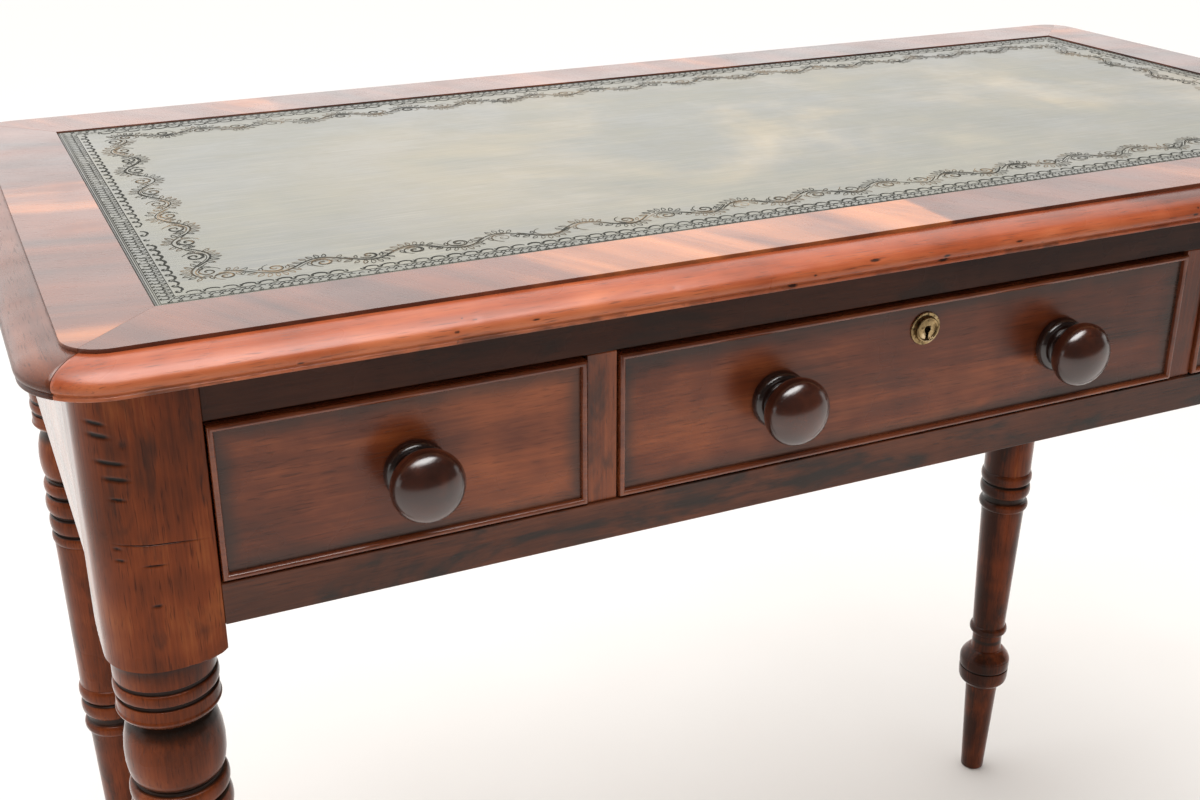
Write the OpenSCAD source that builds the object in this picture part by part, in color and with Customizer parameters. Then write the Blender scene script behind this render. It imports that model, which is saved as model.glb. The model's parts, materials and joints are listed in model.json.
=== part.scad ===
// Writing table with a leather top, three drawers in the frieze and four turned legs.
// Millimetres, +Z up. The origin is on the floor under the middle of the top, and the front faces -Y.

/* [Overall] */
// Width of the top over its moulded edge
desk_w = 930; // [910:1:960]
// Depth of the top over its moulded edge
desk_d = 484; // [470:1:520]
// Height from the floor to the top
desk_h = 760; // [750:1:775]

/* [Top] */
// How far the moulded edge stands out from the raised panel
edge_w = 20; // [16:0.5:24]
// Whole thickness of the top
top_t = 16; // [15:0.5:18]
// Thickness of the crossbanding veneer
band_t = 2.5; // [2:0.1:3.5]
// Width of the crossbanding round the leather
band_w = 44; // [35:1:55]
// Drop from the crossbanding to the moulded edge
edge_step = 2; // [1:0.1:2.4]
// Corner radius of the raised panel
panel_r = 20; // [12:1:30]
// Thickness of the leather
leather_t = 1.8; // [1.2:0.1:2.2]

/* [Frieze] */
// Width and depth of the square post at the top of each leg
post_w = 54; // [50:1:58]
// Height of the frieze from the bottom rail to the underside of the top
frieze_h = 134; // [128:1:140]
// Height of the top rail over the drawers
top_rail_h = 30; // [28:1:34]
// Height of the bottom rail under the drawers
bottom_rail_h = 22; // [20:1:26]
// Thickness of the side rails and the back rail
rail_t = 20; // [18:1:22]
// Width of the two stiles between the drawers
stile_w = 16; // [14:1:20]
// Width of the opening for the middle drawer
middle_w = 374; // [350:1:390]
// Overhang of the top past the front of the posts
front_over = 31; // [26:1:34]
// How far the top rail and the stiles sit behind the bottom rail
rail_set = 2; // [1:0.5:3]
// How far the side rails and the back rail sit behind the faces of the posts
side_set = 3; // [2:0.5:4]
// Length of the tenons in the posts
tenon_l = 24; // [20:1:26]

/* [Legs] */
// How far the square post reaches below the frieze
post_drop = 18; // [10:1:20]
// Radius of the foot at the floor
foot_r = 11.3; // [10:0.1:13]

/* [Drawers] */
// Gap between a drawer and the frame at each side
gap = 1; // [0.8:0.1:1.5]
// Gap above a drawer
top_gap = 2; // [1.5:0.1:3]
// Thickness of the drawer fronts
front_t = 20; // [18:1:22]
// Thickness of the drawer sides and backs
side_t = 8; // [7:0.5:10]
// Depth of a drawer from its front face
drawer_d = 374; // [300:1:376]
// Width of the bead round a drawer front
bead_w = 3; // [2.5:0.1:4]
// How far the bead stands out of the drawer front
bead_out = 3; // [2:0.1:3.5]
// Diameter of a knob
knob_d = 37.2; // [34:0.1:38]
// Distance of the middle drawer's knobs from its middle
knob_x = 94; // [80:1:110]
// How far a side drawer's knob sits from its middle, towards the middle of the desk
side_knob_x = 2.5; // [0:0.5:5]
// How far the middle drawer's pair of knobs sits to the right of its middle
pair_shift = 1.4; // [0:0.1:3]
// Height of the knobs below the top of the drawer fronts
knob_drop = 41; // [38:1:44]

/* [Lock] */
// Height of the keyhole below the top of the middle drawer front
key_drop = 16.5; // [15:0.5:19]
// Travel of the bolt
bolt_travel = 6; // [4:0.5:7]
// Diameter of the escutcheon's flange
plate_d = 19; // [17:0.1:21]

/* [Hidden] */
$fn = 64;
// Overshoot of a cut past a face
cut = 1;

// Colours
red_wood = [0.45, 0.18, 0.10];
pale_wood = [0.62, 0.36, 0.24];
dark_wood = [0.30, 0.12, 0.08];
inner_wood = [0.66, 0.50, 0.33];
leather_colour = [0.42, 0.45, 0.38];
brass = [0.75, 0.60, 0.30];
iron = [0.32, 0.31, 0.30];

// Top: heights and half sizes
under_z = desk_h - top_t;
board_z = desk_h - band_t;
panel_x = desk_w/2 - edge_w;
panel_y = desk_d/2 - edge_w;
leather_x = panel_x - band_w;
leather_y = panel_y - band_w;

// Frame: faces of the posts and rails, and heights
post_x = panel_x;
front_y = -(desk_d/2 - front_over);
leg_x = post_x - post_w/2;
leg_y = -front_y - post_w/2;
inner_x = post_x - post_w;
inner_y = -front_y - post_w;
frieze_z = under_z - frieze_h;
open_z = frieze_z + bottom_rail_h;
head_z = under_z - top_rail_h;
post_z = frieze_z - post_drop;
side_x = post_x - side_set;
side_in = side_x - rail_t;
back_out = -front_y - side_set;
back_in = back_out - rail_t;
stile_in = middle_w/2;
stile_out = stile_in + stile_w;
stile_y = front_y + rail_set;

// Joints of the frame
tenon_t = 10;
tenon_edge = 12;
stub_l = 8;
stub_t = 8;
stub_lift = 5;
stub_inset = 2;
housing = 6;
stile_tenon_l = 10;
stile_tenon_t = 6;
tail_root = 20;
tail_tip = 28;
tail_l = 21;
tail_t = 18;

// Runners and kickers
runner_t = 18;
guide_h = 30;
guide_gap = 0.5;
middle_runner_w = 60;
side_runner_in = inner_x - 13;
stile_mid = (stile_in + stile_out)/2;
bar_ranges = [[side_runner_in, side_in], [stile_mid - middle_runner_w/2, stile_mid + middle_runner_w/2]];

// Drawers: x range of each one's frame opening
left_range = [-inner_x, -stile_out];
middle_range = [-stile_in, stile_in];
right_range = [stile_out, inner_x];
drawer_z0 = open_z + gap;
drawer_z1 = head_z - top_gap;
slide_gap = 0.3;
face_y = stile_y;
back_face_y = face_y + front_t;
rear_y = face_y + drawer_d;
lap = 12;
groove = 4;
bottom_t = 6;
bottom_z = open_z + 9;
back_y = rear_y - 15;
back_top = drawer_z1 - 5;
bead_in = 5;
tail_count = 3;
tail_narrow = 0.28;
tail_wide = 0.4;
knob_z = drawer_z1 - knob_drop;
knob_hole_r = 5;
// Turning of a knob, outwards from the drawer front
base_r = 16.2;
base_foot = 15.2;
base_round = 4.2;
base_mid = 2.6;
base_h = 7.4;
ring_r = 12.4;
ring_h = 1.5;
ring_in = 0.5;
neck_r = 9.8;
neck_h = 11;
cap_h = 20.6;
knob_l = 32.2;
dowel_gap = 0.05;
left_knob = [(left_range[0] + left_range[1])/2 + side_knob_x];
middle_knobs = [pair_shift - knob_x, pair_shift + knob_x];
right_knob = [(right_range[0] + right_range[1])/2 - side_knob_x];

// Lock: half widths, depths from the back of the drawer front, and heights
key_z = drawer_z1 - key_drop;
lock_x = 25;
flange_x = 33;
lock_y = back_face_y - 10;
flange_t = 1.5;
lock_low = drawer_z1 - 34;
cap_z = drawer_z1 - 2.5;
case_floor = 6;
bolt_x = 10;
bolt_t = 5;
bolt_h = 10.8;
bolt_y = lock_y + 2;
bolt_gap = 0.3;
bolt_top = drawer_z1 - 0.2;
pin_r = 1;
key_r = 2.1;
key_slot_w = 2;
key_slot_h = 6;
nose_r = 6;
nose_l = 8;
plate_rim = 2;
plate_edge = 1.1;
plate_round = 0.5;
boss_h = 3.2;
boss_lean = 0.3;
roll_r = 0.7;
dish_w = 0.2;
dish_h = 0.9;
screw_r = 1.25;
screw_l = 8;
screw_head_r = 2.4;
screw_at = [for (x = [-29, 29], z = [lock_low + 5, cap_z - 5]) [x, z]];

// Fixings
stop_size = [30, 12, 5];
stop_inset = 45;
stop_y = back_face_y + 0.3;
block_size = [40, 20, 20];
block_at = [-300, -80, 80, 300];
top_screw_r = 2;
top_screw_head_r = 4;
top_screw_head_h = 3;
top_screw_l = 38;
top_screw_y = [-110, 110];
kicker_mid = (side_in + side_runner_in)/2;
top_screw_x = [-kicker_mid, -stile_mid, stile_mid, kicker_mid];

// Turning of a leg, from the floor up: [height, radius below, radius above, bulge]
turning = [
  [1.5, foot_r - 1.3, foot_r, 0],
  [103.5, foot_r, 15.9, 0],
  [7, 17.5, 23, 1.5],
  [12, 23.5, 24, 0.4],
  [1.6, 22.8, 22.8, 0],
  [10.4, 24, 24, 0.5],
  [10, 23.6, 16, 1.5],
  [19, 15.2, 15.2, -0.9],
  [8.5, 16, 16, 2.3],
  [133.5, 15.9, 20.2, 0],
  [9, 20.4, 20.4, 2.7],
  [6, 20.2, 20.4, -0.8],
  [12.5, 21.2, 21.2, 2.4],
  [1, 20.8, 20.8, 0],
  [11.5, 21.4, 21.4, 2.4],
  [121, 22, 23.4, 0],
  [8, 23, 23, 1.6],
  [1.5, 22, 22, 0],
  [12, 22.8, 22.8, 2],
  [2, 21.8, 21.8, 0],
  [14, 22.6, 22.6, 2.8],
  [2, 21.6, 21.6, 0],
  [9, 23, 23, 1.8],
  [1.5, 21.2, 21.2, 0],
  [36.5, 20.4, 18.8, 5.1],
  [1, 18.8, 19.2, 0],
  [6.5, 19.2, 24.9, 2.2],
  [6, 24.9, 24.9, 0],
  [2.6, 23.2, 23.2, 0],
  [6.4, 24.6, 24.6, 0.9],
  [2.6, 23.4, 23.4, 0],
  [18.4, 24.8, 24.8, 0]
];
turned_h = sumto(turning, len(turning));
neck_in = 6;
shoulder_r = 25.2;
shoulder_w = post_w*sqrt(0.5) - shoulder_r + 0.3;
shoulder_h = 8;
bead_steps = 8;

// Height of the first n pieces of a turning
function sumto(list, n) = n == 0 ? 0 : sumto(list, n - 1) + list[n - 1][0];
// Points of one piece of a turning that starts at height z: a straight side, or a half ellipse
function piece(e, z, s) = e[3] == 0 ? [[e[1], z], [e[2], z + e[0]*s]]
  : [for (i = [0:bead_steps]) let (a = 180*i/bead_steps, t = (1 - cos(a))/2)
      [e[1] + (e[2] - e[1])*t + e[3]*sin(a), z + e[0]*s*t]];
// Side of the whole turning, stretched to end inside the post
leg_stretch = (post_z + neck_in)/turned_h;
leg_side = [for (i = [0:len(turning) - 1])
  each piece(turning[i], sumto(turning, i)*leg_stretch, leg_stretch)];
// An arc of an ellipse, from angle a to angle b
function arc(cx, cy, rx, ry, a, b, n) =
  [for (i = [0:n]) let (t = a + (b - a)*i/n) [cx + rx*cos(t), cy + ry*sin(t)]];

// Section of the moulded edge: x out from the panel, y up
nose_z = 5.5;
quirk = 2.2;
fillet_x = edge_w - 0.8;
edge_section = concat(
  [[0, 0], [fillet_x - 0.4, 0], [fillet_x, 0.4], [fillet_x, 1.6], [edge_w - 1.8, quirk]],
  arc(edge_w - 3, nose_z, 3, 3.3, -50, -10, 4),
  arc(0, nose_z, edge_w, top_t - edge_step - nose_z, 0, 90, 14));

// A box from one corner to the other
module box(a, b) {
  translate(a) cube([b[0] - a[0], b[1] - a[1], b[2] - a[2]]);
}

// A box and its mirror image across x = 0
module box_pair(a, b) {
  box(a, b);
  mirror([1, 0, 0]) box(a, b);
}

// Rectangle with round corners, centred
module round_panel(x, y, r, h) {
  linear_extrude(h) union() {
    translate([-x, -y + r]) square([2*x, 2*(y - r)]);
    translate([-x + r, -y]) square([2*(x - r), 2*y]);
    for (sx = [-1, 1], sy = [-1, 1]) translate([sx*(x - r), sy*(y - r)]) circle(r);
  }
}

// ---- Top ----

module top_board() {
  color(inner_wood) difference() {
    translate([0, 0, under_z]) round_panel(panel_x, panel_y, panel_r, board_z - under_z);
    top_screw_shapes();
  }
}

// One strip of crossbanding, mitred at both ends; long strips run along X
module crossband(long, side) {
  ix = leather_x;
  iy = leather_y;
  ox = panel_x;
  oy = panel_y;
  outline = long ? [[-ix, side*iy], [ix, side*iy], [ox, side*oy], [-ox, side*oy]]
    : [[side*ix, -iy], [side*ix, iy], [side*ox, oy], [side*ox, -oy]];
  color(pale_wood) intersection() {
    translate([0, 0, board_z]) round_panel(panel_x, panel_y, panel_r, band_t);
    translate([0, 0, board_z - cut]) linear_extrude(band_t + 2*cut) polygon(outline);
  }
}

module leather() {
  color(leather_colour) box([-leather_x, -leather_y, board_z], [leather_x, leather_y, board_z + leather_t]);
}

// The whole moulded edge, before the mitres part it
module edge_ring() {
  for (s = [-1, 1]) {
    translate([0, s*panel_y, 0]) rotate([0, 0, s < 0 ? -90 : 90]) rotate([90, 0, 0])
      translate([0, 0, -(panel_x - panel_r)]) linear_extrude(2*(panel_x - panel_r)) polygon(edge_section);
    translate([s*panel_x, 0, 0]) rotate([0, 0, s < 0 ? 180 : 0]) rotate([90, 0, 0])
      translate([0, 0, -(panel_y - panel_r)]) linear_extrude(2*(panel_y - panel_r)) polygon(edge_section);
  }
  for (sx = [-1, 1], sy = [-1, 1])
    translate([sx*(panel_x - panel_r), sy*(panel_y - panel_r), 0])
      rotate([0, 0, sx > 0 ? (sy > 0 ? 0 : -90) : (sy > 0 ? 90 : 180)])
        rotate_extrude(angle = 90) translate([panel_r, 0]) polygon(edge_section);
}

// One length of the moulded edge, mitred on the diagonal of each corner
module edge_length(long, side) {
  ox = desk_w/2 + cut;
  oy = desk_d/2 + cut;
  mx = panel_x - panel_y;
  outline = long ? [[-mx, 0], [mx, 0], [mx + oy, side*oy], [-mx - oy, side*oy]]
    : [for (p = [[mx, 0], [mx + oy, -oy], [ox + oy, -oy], [ox + oy, oy], [mx + oy, oy]]) [side*p[0], p[1]]];
  color(red_wood) intersection() {
    translate([0, 0, under_z]) edge_ring();
    translate([0, 0, under_z - cut]) linear_extrude(top_t + cut) polygon(outline);
  }
}

// ---- Legs ----

// Square post with its outer corner turned round, for the leg at +X, -Y
module post_section() {
  half = post_w/2;
  union() {
    circle(half);
    translate([-half, -half]) square([half, post_w]);
    translate([-half, 0]) square([post_w, half]);
  }
}

// The post and the turned leg in one piece, for the leg at +X, -Y
module leg_blank() {
  union() {
    intersection() {
      translate([0, 0, post_z - cut]) linear_extrude(under_z - post_z + cut) post_section();
      rotate_extrude() polygon(concat(
        [[0, post_z]],
        arc(shoulder_r, post_z + shoulder_h, shoulder_w, shoulder_h, -90, 0, bead_steps),
        [[shoulder_r + shoulder_w, under_z], [0, under_z]]));
    }
    rotate_extrude() polygon(concat([[0, 0]], leg_side, [[0, post_z + neck_in]]));
  }
}

// A leg at sx, sy with its mortises
module leg(sx, sy) {
  color(red_wood) difference() {
    translate([sx*leg_x, sy*leg_y, 0]) to_corner(sx, sy) leg_blank();
    side_tenons(sx);
    if (sy > 0) back_tenons();
    if (sy < 0) {
      bottom_tenons();
      top_tails(cut);
    }
  }
}

// Turns a shape made for the corner at +X, -Y to another corner
module to_corner(sx, sy) {
  mirror([sx < 0 ? 1 : 0, 0, 0]) mirror([0, sy > 0 ? 1 : 0, 0]) children();
}

// ---- Rails and stiles ----

module side_tenons(s) {
  x0 = side_in + (rail_t - tenon_t)/2;
  z0 = frieze_z + tenon_edge;
  z1 = under_z - tenon_edge;
  y1 = inner_y + tenon_l;
  to_corner(s, -1) box([x0, -y1, z0], [x0 + tenon_t, y1, z1]);
}

module side_rail(s) {
  color(red_wood) union() {
    to_corner(s, -1) box([side_in, -inner_y, frieze_z], [side_x, inner_y, under_z]);
    side_tenons(s);
  }
}

module back_tenons() {
  y0 = back_in + (rail_t - tenon_t)/2;
  x1 = inner_x + tenon_l;
  box([-x1, y0, frieze_z + tenon_edge], [x1, y0 + tenon_t, under_z - tenon_edge]);
}

module back_rail() {
  color(dark_wood) difference() {
    union() {
      box([-inner_x, back_in, frieze_z], [inner_x, back_out, under_z]);
      back_tenons();
    }
    for (s = [-1, 1]) {
      runner_bars(s);
      kicker_bars(s);
    }
  }
}

module bottom_tenons() {
  x1 = inner_x + tenon_l;
  z0 = frieze_z + (bottom_rail_h - tenon_t)/2;
  box([-x1, front_y + tenon_edge, z0], [x1, -inner_y - tenon_edge, z0 + tenon_t]);
}

module bottom_rail() {
  color(red_wood) difference() {
    union() {
      box([-inner_x, front_y, frieze_z], [inner_x, -inner_y, open_z]);
      bottom_tenons();
    }
    stile_tenons();
    for (s = [-1, 1]) runner_bars(s);
  }
}

// Dovetails at the ends of the top rail; extra raises them past the top of a post for the cut
module top_tails(extra) {
  mid = (front_y - inner_y)/2;
  for (s = [-1, 1]) to_corner(s, -1) translate([0, mid, under_z - tail_t])
    linear_extrude(tail_t + extra) polygon([
      [inner_x - extra, -tail_root/2], [inner_x, -tail_root/2], [inner_x + tail_l, -tail_tip/2],
      [inner_x + tail_l, tail_tip/2], [inner_x, tail_root/2], [inner_x - extra, tail_root/2]]);
}

module top_rail() {
  color(dark_wood) difference() {
    union() {
      box([-inner_x, stile_y, head_z], [inner_x, -inner_y, under_z]);
      top_tails(0);
    }
    stile_tenons();
    for (s = [-1, 1]) kicker_bars(s);
    box([-bolt_x - cut, bolt_y - cut, head_z - cut],
      [bolt_x + cut, bolt_y + bolt_t + cut, head_z + bolt_travel + cut]);
  }
}

module stile_tenons() {
  x0 = stile_in + (stile_w - stile_tenon_t)/2;
  box_pair([x0, stile_y + tenon_edge, open_z - stile_tenon_l],
    [x0 + stile_tenon_t, -inner_y - tenon_edge, head_z + stile_tenon_l]);
}

module stile(s) {
  color(red_wood) intersection() {
    union() {
      box_pair([stile_in, stile_y, open_z], [stile_out, -inner_y, head_z]);
      stile_tenons();
    }
    to_corner(s, -1) box([0, -desk_d, 0], [desk_w, desk_d, desk_h]);
  }
}

// ---- Inside the frame ----

// Two bars from front to back on one side of the desk, one by the side rail and one behind a stile.
// Each has a stub tenon at the front and is housed in the back rail. The outer one is notched round the
// back post.
module bars(s, z0, z1) {
  to_corner(s, -1) for (b = bar_ranges) {
    stub_x = min(b[1], inner_x) - stub_inset;
    stub_z = z0 + stub_lift;
    box([b[0], -inner_y, z0], [b[1], inner_y, z1]);
    box([b[0], -inner_y, z0], [min(b[1], inner_x), back_in + housing, z1]);
    box([b[0] + stub_inset, -inner_y - stub_l, stub_z], [stub_x, -inner_y, stub_z + stub_t]);
  }
}

// Beds that the drawers run on
module runner_bars(s) {
  bars(s, open_z - runner_t, open_z);
}

// Bars over the drawer sides, which keep an open drawer level
module kicker_bars(s) {
  bars(s, head_z, under_z);
}

// Guides on the runners of one side of the desk
module guide_bars(s) {
  to_corner(s, -1) {
    box([inner_x + guide_gap, -inner_y, open_z], [side_in, inner_y, open_z + guide_h]);
    box([stile_in + guide_gap/2, -inner_y, open_z], [stile_out - guide_gap/2, back_in, open_z + guide_h]);
  }
}

// Range of x that holds one bar: the outer one or the middle one
module bar_side(s, outer) {
  split = (bar_ranges[0][0] + bar_ranges[1][1])/2;
  to_corner(s, -1)
    box([outer ? split : 0, -desk_d, 0], [outer ? desk_w : split, desk_d, desk_h]);
}

module runner(s, outer) {
  color(inner_wood) intersection() {
    union() {
      runner_bars(s);
      guide_bars(s);
    }
    bar_side(s, outer);
  }
}

module kicker(s, outer) {
  color(inner_wood) difference() {
    intersection() {
      kicker_bars(s);
      bar_side(s, outer);
    }
    top_screw_shapes();
  }
}

module drawer_stops() {
  ranges = [left_range, middle_range, right_range];
  color(inner_wood) for (r = ranges, x = [r[0] + stop_inset, r[1] - stop_inset])
    translate([x - stop_size[0]/2, stop_y, open_z]) cube(stop_size);
}

module glue_blocks() {
  color(inner_wood) for (x = block_at)
    translate([x - block_size[0]/2, back_in - block_size[1], under_z - block_size[2]]) cube(block_size);
}

module top_screw_shapes() {
  for (x = top_screw_x, y = top_screw_y) translate([x, y, head_z]) {
    cylinder(h = top_screw_l, r = top_screw_r);
    cylinder(h = top_screw_head_h, r1 = top_screw_head_r, r2 = top_screw_r);
  }
}

module top_screws() {
  slot_w = 1;
  slot_h = 1.2;
  color(iron) difference() {
    top_screw_shapes();
    for (x = top_screw_x, y = top_screw_y)
      translate([x - top_screw_head_r - cut, y - slot_w/2, head_z - cut])
        cube([2*(top_screw_head_r + cut), slot_w, slot_h + cut]);
  }
}

// ---- Drawers ----

// Outer x range of a drawer in the frame opening r
function outer(r) = [r[0] + gap, r[1] - gap];

// Laps at the front ends of a drawer's two sides: dovetails that widen to the front
module side_tails(r) {
  o = outer(r);
  h = (drawer_z1 - drawer_z0)/tail_count;
  for (i = [0:tail_count - 1]) translate([0, back_face_y, drawer_z0 + (i + 0.5)*h])
    for (x = [o[0], o[1] - side_t]) translate([x, 0, 0]) rotate([90, 0, 90])
      linear_extrude(side_t) polygon([
        [0, -h*tail_narrow], [0, h*tail_narrow], [-lap, h*tail_wide], [-lap, -h*tail_wide]]);
}

module drawer_front(r, knobs, lock) {
  o = outer(r);
  color(red_wood) difference() {
    box([o[0], face_y, drawer_z0], [o[1], back_face_y, drawer_z1]);
    bead_shape(r);
    side_tails(r);
    bottom_shape(r);
    for (x = knobs) translate([x, face_y - cut, knob_z]) rotate([-90, 0, 0])
      cylinder(h = front_t + 2*cut, r = knob_hole_r);
    if (lock) {
      case_outline();
      key_shape(face_y - cut, lock_y + cut);
      translate([0, face_y - cut, key_z]) rotate([-90, 0, 0]) cylinder(h = nose_l + cut, r = nose_r);
      lock_screw_shapes();
    }
  }
}

module drawer_side(r, first) {
  o = outer(r);
  x = first ? o[0] : o[1] - side_t;
  color(inner_wood) difference() {
    union() {
      box([x, back_face_y, open_z + slide_gap], [x + side_t, rear_y, drawer_z1]);
      intersection() {
        side_tails(r);
        box([x - cut, face_y, 0], [x + side_t + cut, rear_y, desk_h]);
      }
    }
    bottom_shape(r);
    back_shape(r);
  }
}

// The bottom board, let into the front and the sides
module bottom_shape(r) {
  o = outer(r);
  box([o[0] + side_t - groove, back_face_y - groove, bottom_z],
    [o[1] - side_t + groove, rear_y, bottom_z + bottom_t]);
}

module drawer_bottom(r) {
  color(inner_wood) bottom_shape(r);
}

// The back board, housed in the sides and standing on the bottom
module back_shape(r) {
  o = outer(r);
  box([o[0] + side_t - groove, back_y - side_t, bottom_z + bottom_t],
    [o[1] - side_t + groove, back_y, back_top]);
}

module drawer_back(r) {
  color(inner_wood) back_shape(r);
}

// A bead all round the front: a round nose on a strip that is let into the edge
module bead_shape(r) {
  o = outer(r);
  w = o[1] - o[0];
  h = drawer_z1 - drawer_z0;
  section = concat([[0, bead_in], [bead_w, bead_in]],
    arc(bead_w/2, -bead_out + bead_w/2, bead_w/2, bead_w/2, 0, -180, bead_steps));
  for (i = [0:3]) {
    l = i % 2 == 0 ? w : h;
    d = i % 2 == 0 ? h : w;
    translate([(o[0] + o[1])/2, face_y, (drawer_z0 + drawer_z1)/2]) rotate([0, 90*i, 0])
      intersection() {
        translate([-l/2, 0, -d/2]) rotate([90, 0, 90]) linear_extrude(l) bead_section(section);
        translate([0, bead_in + cut, 0]) rotate([90, 0, 0]) linear_extrude(bead_in + bead_out + 2*cut)
          polygon([[-l/2, -d/2], [l/2, -d/2], [l/2 - bead_w, bead_w - d/2], [bead_w - l/2, bead_w - d/2]]);
      }
  }
}

// The bead's section, stood on its edge
module bead_section(section) {
  polygon([for (p = section) [p[1], p[0]]]);
}

module drawer_bead(r) {
  color(red_wood) bead_shape(r);
}

// Turned knob with its dowel, on the drawer front at x: a round base, two fine rings and a domed cap
module knob(x) {
  cap_r = knob_d/2;
  dowel_r = knob_hole_r - dowel_gap;
  side = concat(
    [[0, -front_t], [dowel_r, -front_t], [dowel_r, 0], [base_foot, 0]],
    arc(base_r - base_round, base_mid, base_round, base_h - base_mid, -30, 90, bead_steps),
    arc(ring_r - ring_h/2, base_h + ring_h/2, ring_h/2, ring_h/2, -60, 60, 4),
    arc(ring_r - ring_h/2 - ring_in, base_h + ring_h*1.5, ring_h/2, ring_h/2, -60, 60, 4),
    arc(neck_r, cap_h, cap_r - neck_r, cap_h - neck_h, -90, 0, bead_steps),
    arc(0, cap_h, cap_r, knob_l - cap_h, 6, 90, 14));
  color(dark_wood) translate([x, face_y, knob_z]) rotate([90, 0, 0]) rotate_extrude() polygon(side);
}

// ---- Lock ----

// Keyhole: a round hole over a slot, from y0 to y1
module key_shape(y0, y1) {
  translate([0, y0, key_z]) rotate([-90, 0, 0]) cylinder(h = y1 - y0, r = key_r);
  box([-key_slot_w/2, y0, key_z - key_slot_h], [key_slot_w/2, y1, key_z]);
}

// Turned brass plate with a raised middle and a short shank
module escutcheon() {
  rp = plate_d/2;
  ri = rp - plate_rim;
  roll_z = boss_h - roll_r;
  color(brass) difference() {
    translate([0, face_y, key_z]) rotate([90, 0, 0]) rotate_extrude() polygon(concat(
      [[0, -nose_l], [nose_r, -nose_l], [nose_r, 0], [rp, 0]],
      arc(rp - plate_round, plate_edge - plate_round, plate_round, plate_round, 0, 90, 3),
      [[ri, plate_edge], [ri - boss_lean, roll_z]],
      arc(ri - boss_lean - roll_r, roll_z, roll_r, roll_r, 0, 180, 6),
      [[ri - boss_lean - 2*roll_r - dish_w, boss_h - dish_h], [0, boss_h - dish_h/2]]));
    key_shape(face_y - 2*boss_h, lock_y);
  }
}

// Everything that the lock takes out of the back of the drawer front
module case_outline() {
  box([-lock_x, lock_y, lock_low], [lock_x, back_face_y, drawer_z1]);
  box([-flange_x, back_face_y - flange_t, lock_low], [flange_x, back_face_y, drawer_z1]);
}

module lock_case() {
  color(brass) difference() {
    case_outline();
    difference() {
      box([-bolt_x - bolt_gap, bolt_y - bolt_gap, lock_low + case_floor],
        [bolt_x + bolt_gap, bolt_y + bolt_t + bolt_gap, drawer_z1 + cut]);
      translate([0, bolt_y, key_z]) rotate([-90, 0, 0]) cylinder(h = bolt_t + cut, r = pin_r);
    }
    key_shape(lock_y - cut, bolt_y);
    lock_screw_shapes();
  }
}

module lock_bolt() {
  color(brass) box([-bolt_x, bolt_y, bolt_top - bolt_h], [bolt_x, bolt_y + bolt_t, bolt_top]);
}

module lock_screw_shapes() {
  for (p = screw_at) translate([p[0], back_face_y - screw_l, p[1]]) rotate([-90, 0, 0]) {
    cylinder(h = screw_l, r = screw_r);
    translate([0, 0, screw_l - flange_t]) cylinder(h = flange_t, r1 = screw_r, r2 = screw_head_r);
  }
}

module lock_screws() {
  slot_w = 0.6;
  slot_h = 0.6;
  color(iron) difference() {
    lock_screw_shapes();
    for (p = screw_at) translate([p[0] - screw_head_r - cut, back_face_y - slot_h, p[1] - slot_w/2])
      cube([2*(screw_head_r + cut), slot_h + cut, slot_w]);
  }
}

top_board();
crossband(true, -1);  // crossband_front
crossband(true, 1);  // crossband_back
crossband(false, -1);  // crossband_left
crossband(false, 1);  // crossband_right
leather();
edge_length(true, -1);  // edge_front
edge_length(true, 1);  // edge_back
edge_length(false, -1);  // edge_left
edge_length(false, 1);  // edge_right
leg(-1, -1);  // leg_front_left
leg(1, -1);  // leg_front_right
leg(-1, 1);  // leg_back_left
leg(1, 1);  // leg_back_right
side_rail(-1);  // side_rail_left
side_rail(1);  // side_rail_right
back_rail();
top_rail();
bottom_rail();
stile(-1);  // stile_left
stile(1);  // stile_right
runner(-1, true);  // runner_left
runner(-1, false);  // runner_middle_left
runner(1, false);  // runner_middle_right
runner(1, true);  // runner_right
kicker(-1, true);  // kicker_left
kicker(-1, false);  // kicker_middle_left
kicker(1, false);  // kicker_middle_right
kicker(1, true);  // kicker_right
drawer_stops();
glue_blocks();
top_screws();
drawer_front(left_range, left_knob, false);  // front_left
drawer_side(left_range, true);  // side_a_left
drawer_side(left_range, false);  // side_b_left
drawer_back(left_range);  // back_left
drawer_bottom(left_range);  // bottom_left
drawer_bead(left_range);  // bead_left
drawer_front(middle_range, middle_knobs, true);  // front_middle
drawer_side(middle_range, true);  // side_a_middle
drawer_side(middle_range, false);  // side_b_middle
drawer_back(middle_range);  // back_middle
drawer_bottom(middle_range);  // bottom_middle
drawer_bead(middle_range);  // bead_middle
drawer_front(right_range, right_knob, false);  // front_right
drawer_side(right_range, true);  // side_a_right
drawer_side(right_range, false);  // side_b_right
drawer_back(right_range);  // back_right
drawer_bottom(right_range);  // bottom_right
drawer_bead(right_range);  // bead_right
knob(left_knob[0]);  // knob_left
knob(middle_knobs[0]);  // knob_middle_left
knob(middle_knobs[1]);  // knob_middle_right
knob(right_knob[0]);  // knob_right
escutcheon();
lock_case();
lock_bolt();
lock_screws();
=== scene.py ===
import json
import math
from functools import partialmethod

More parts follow.
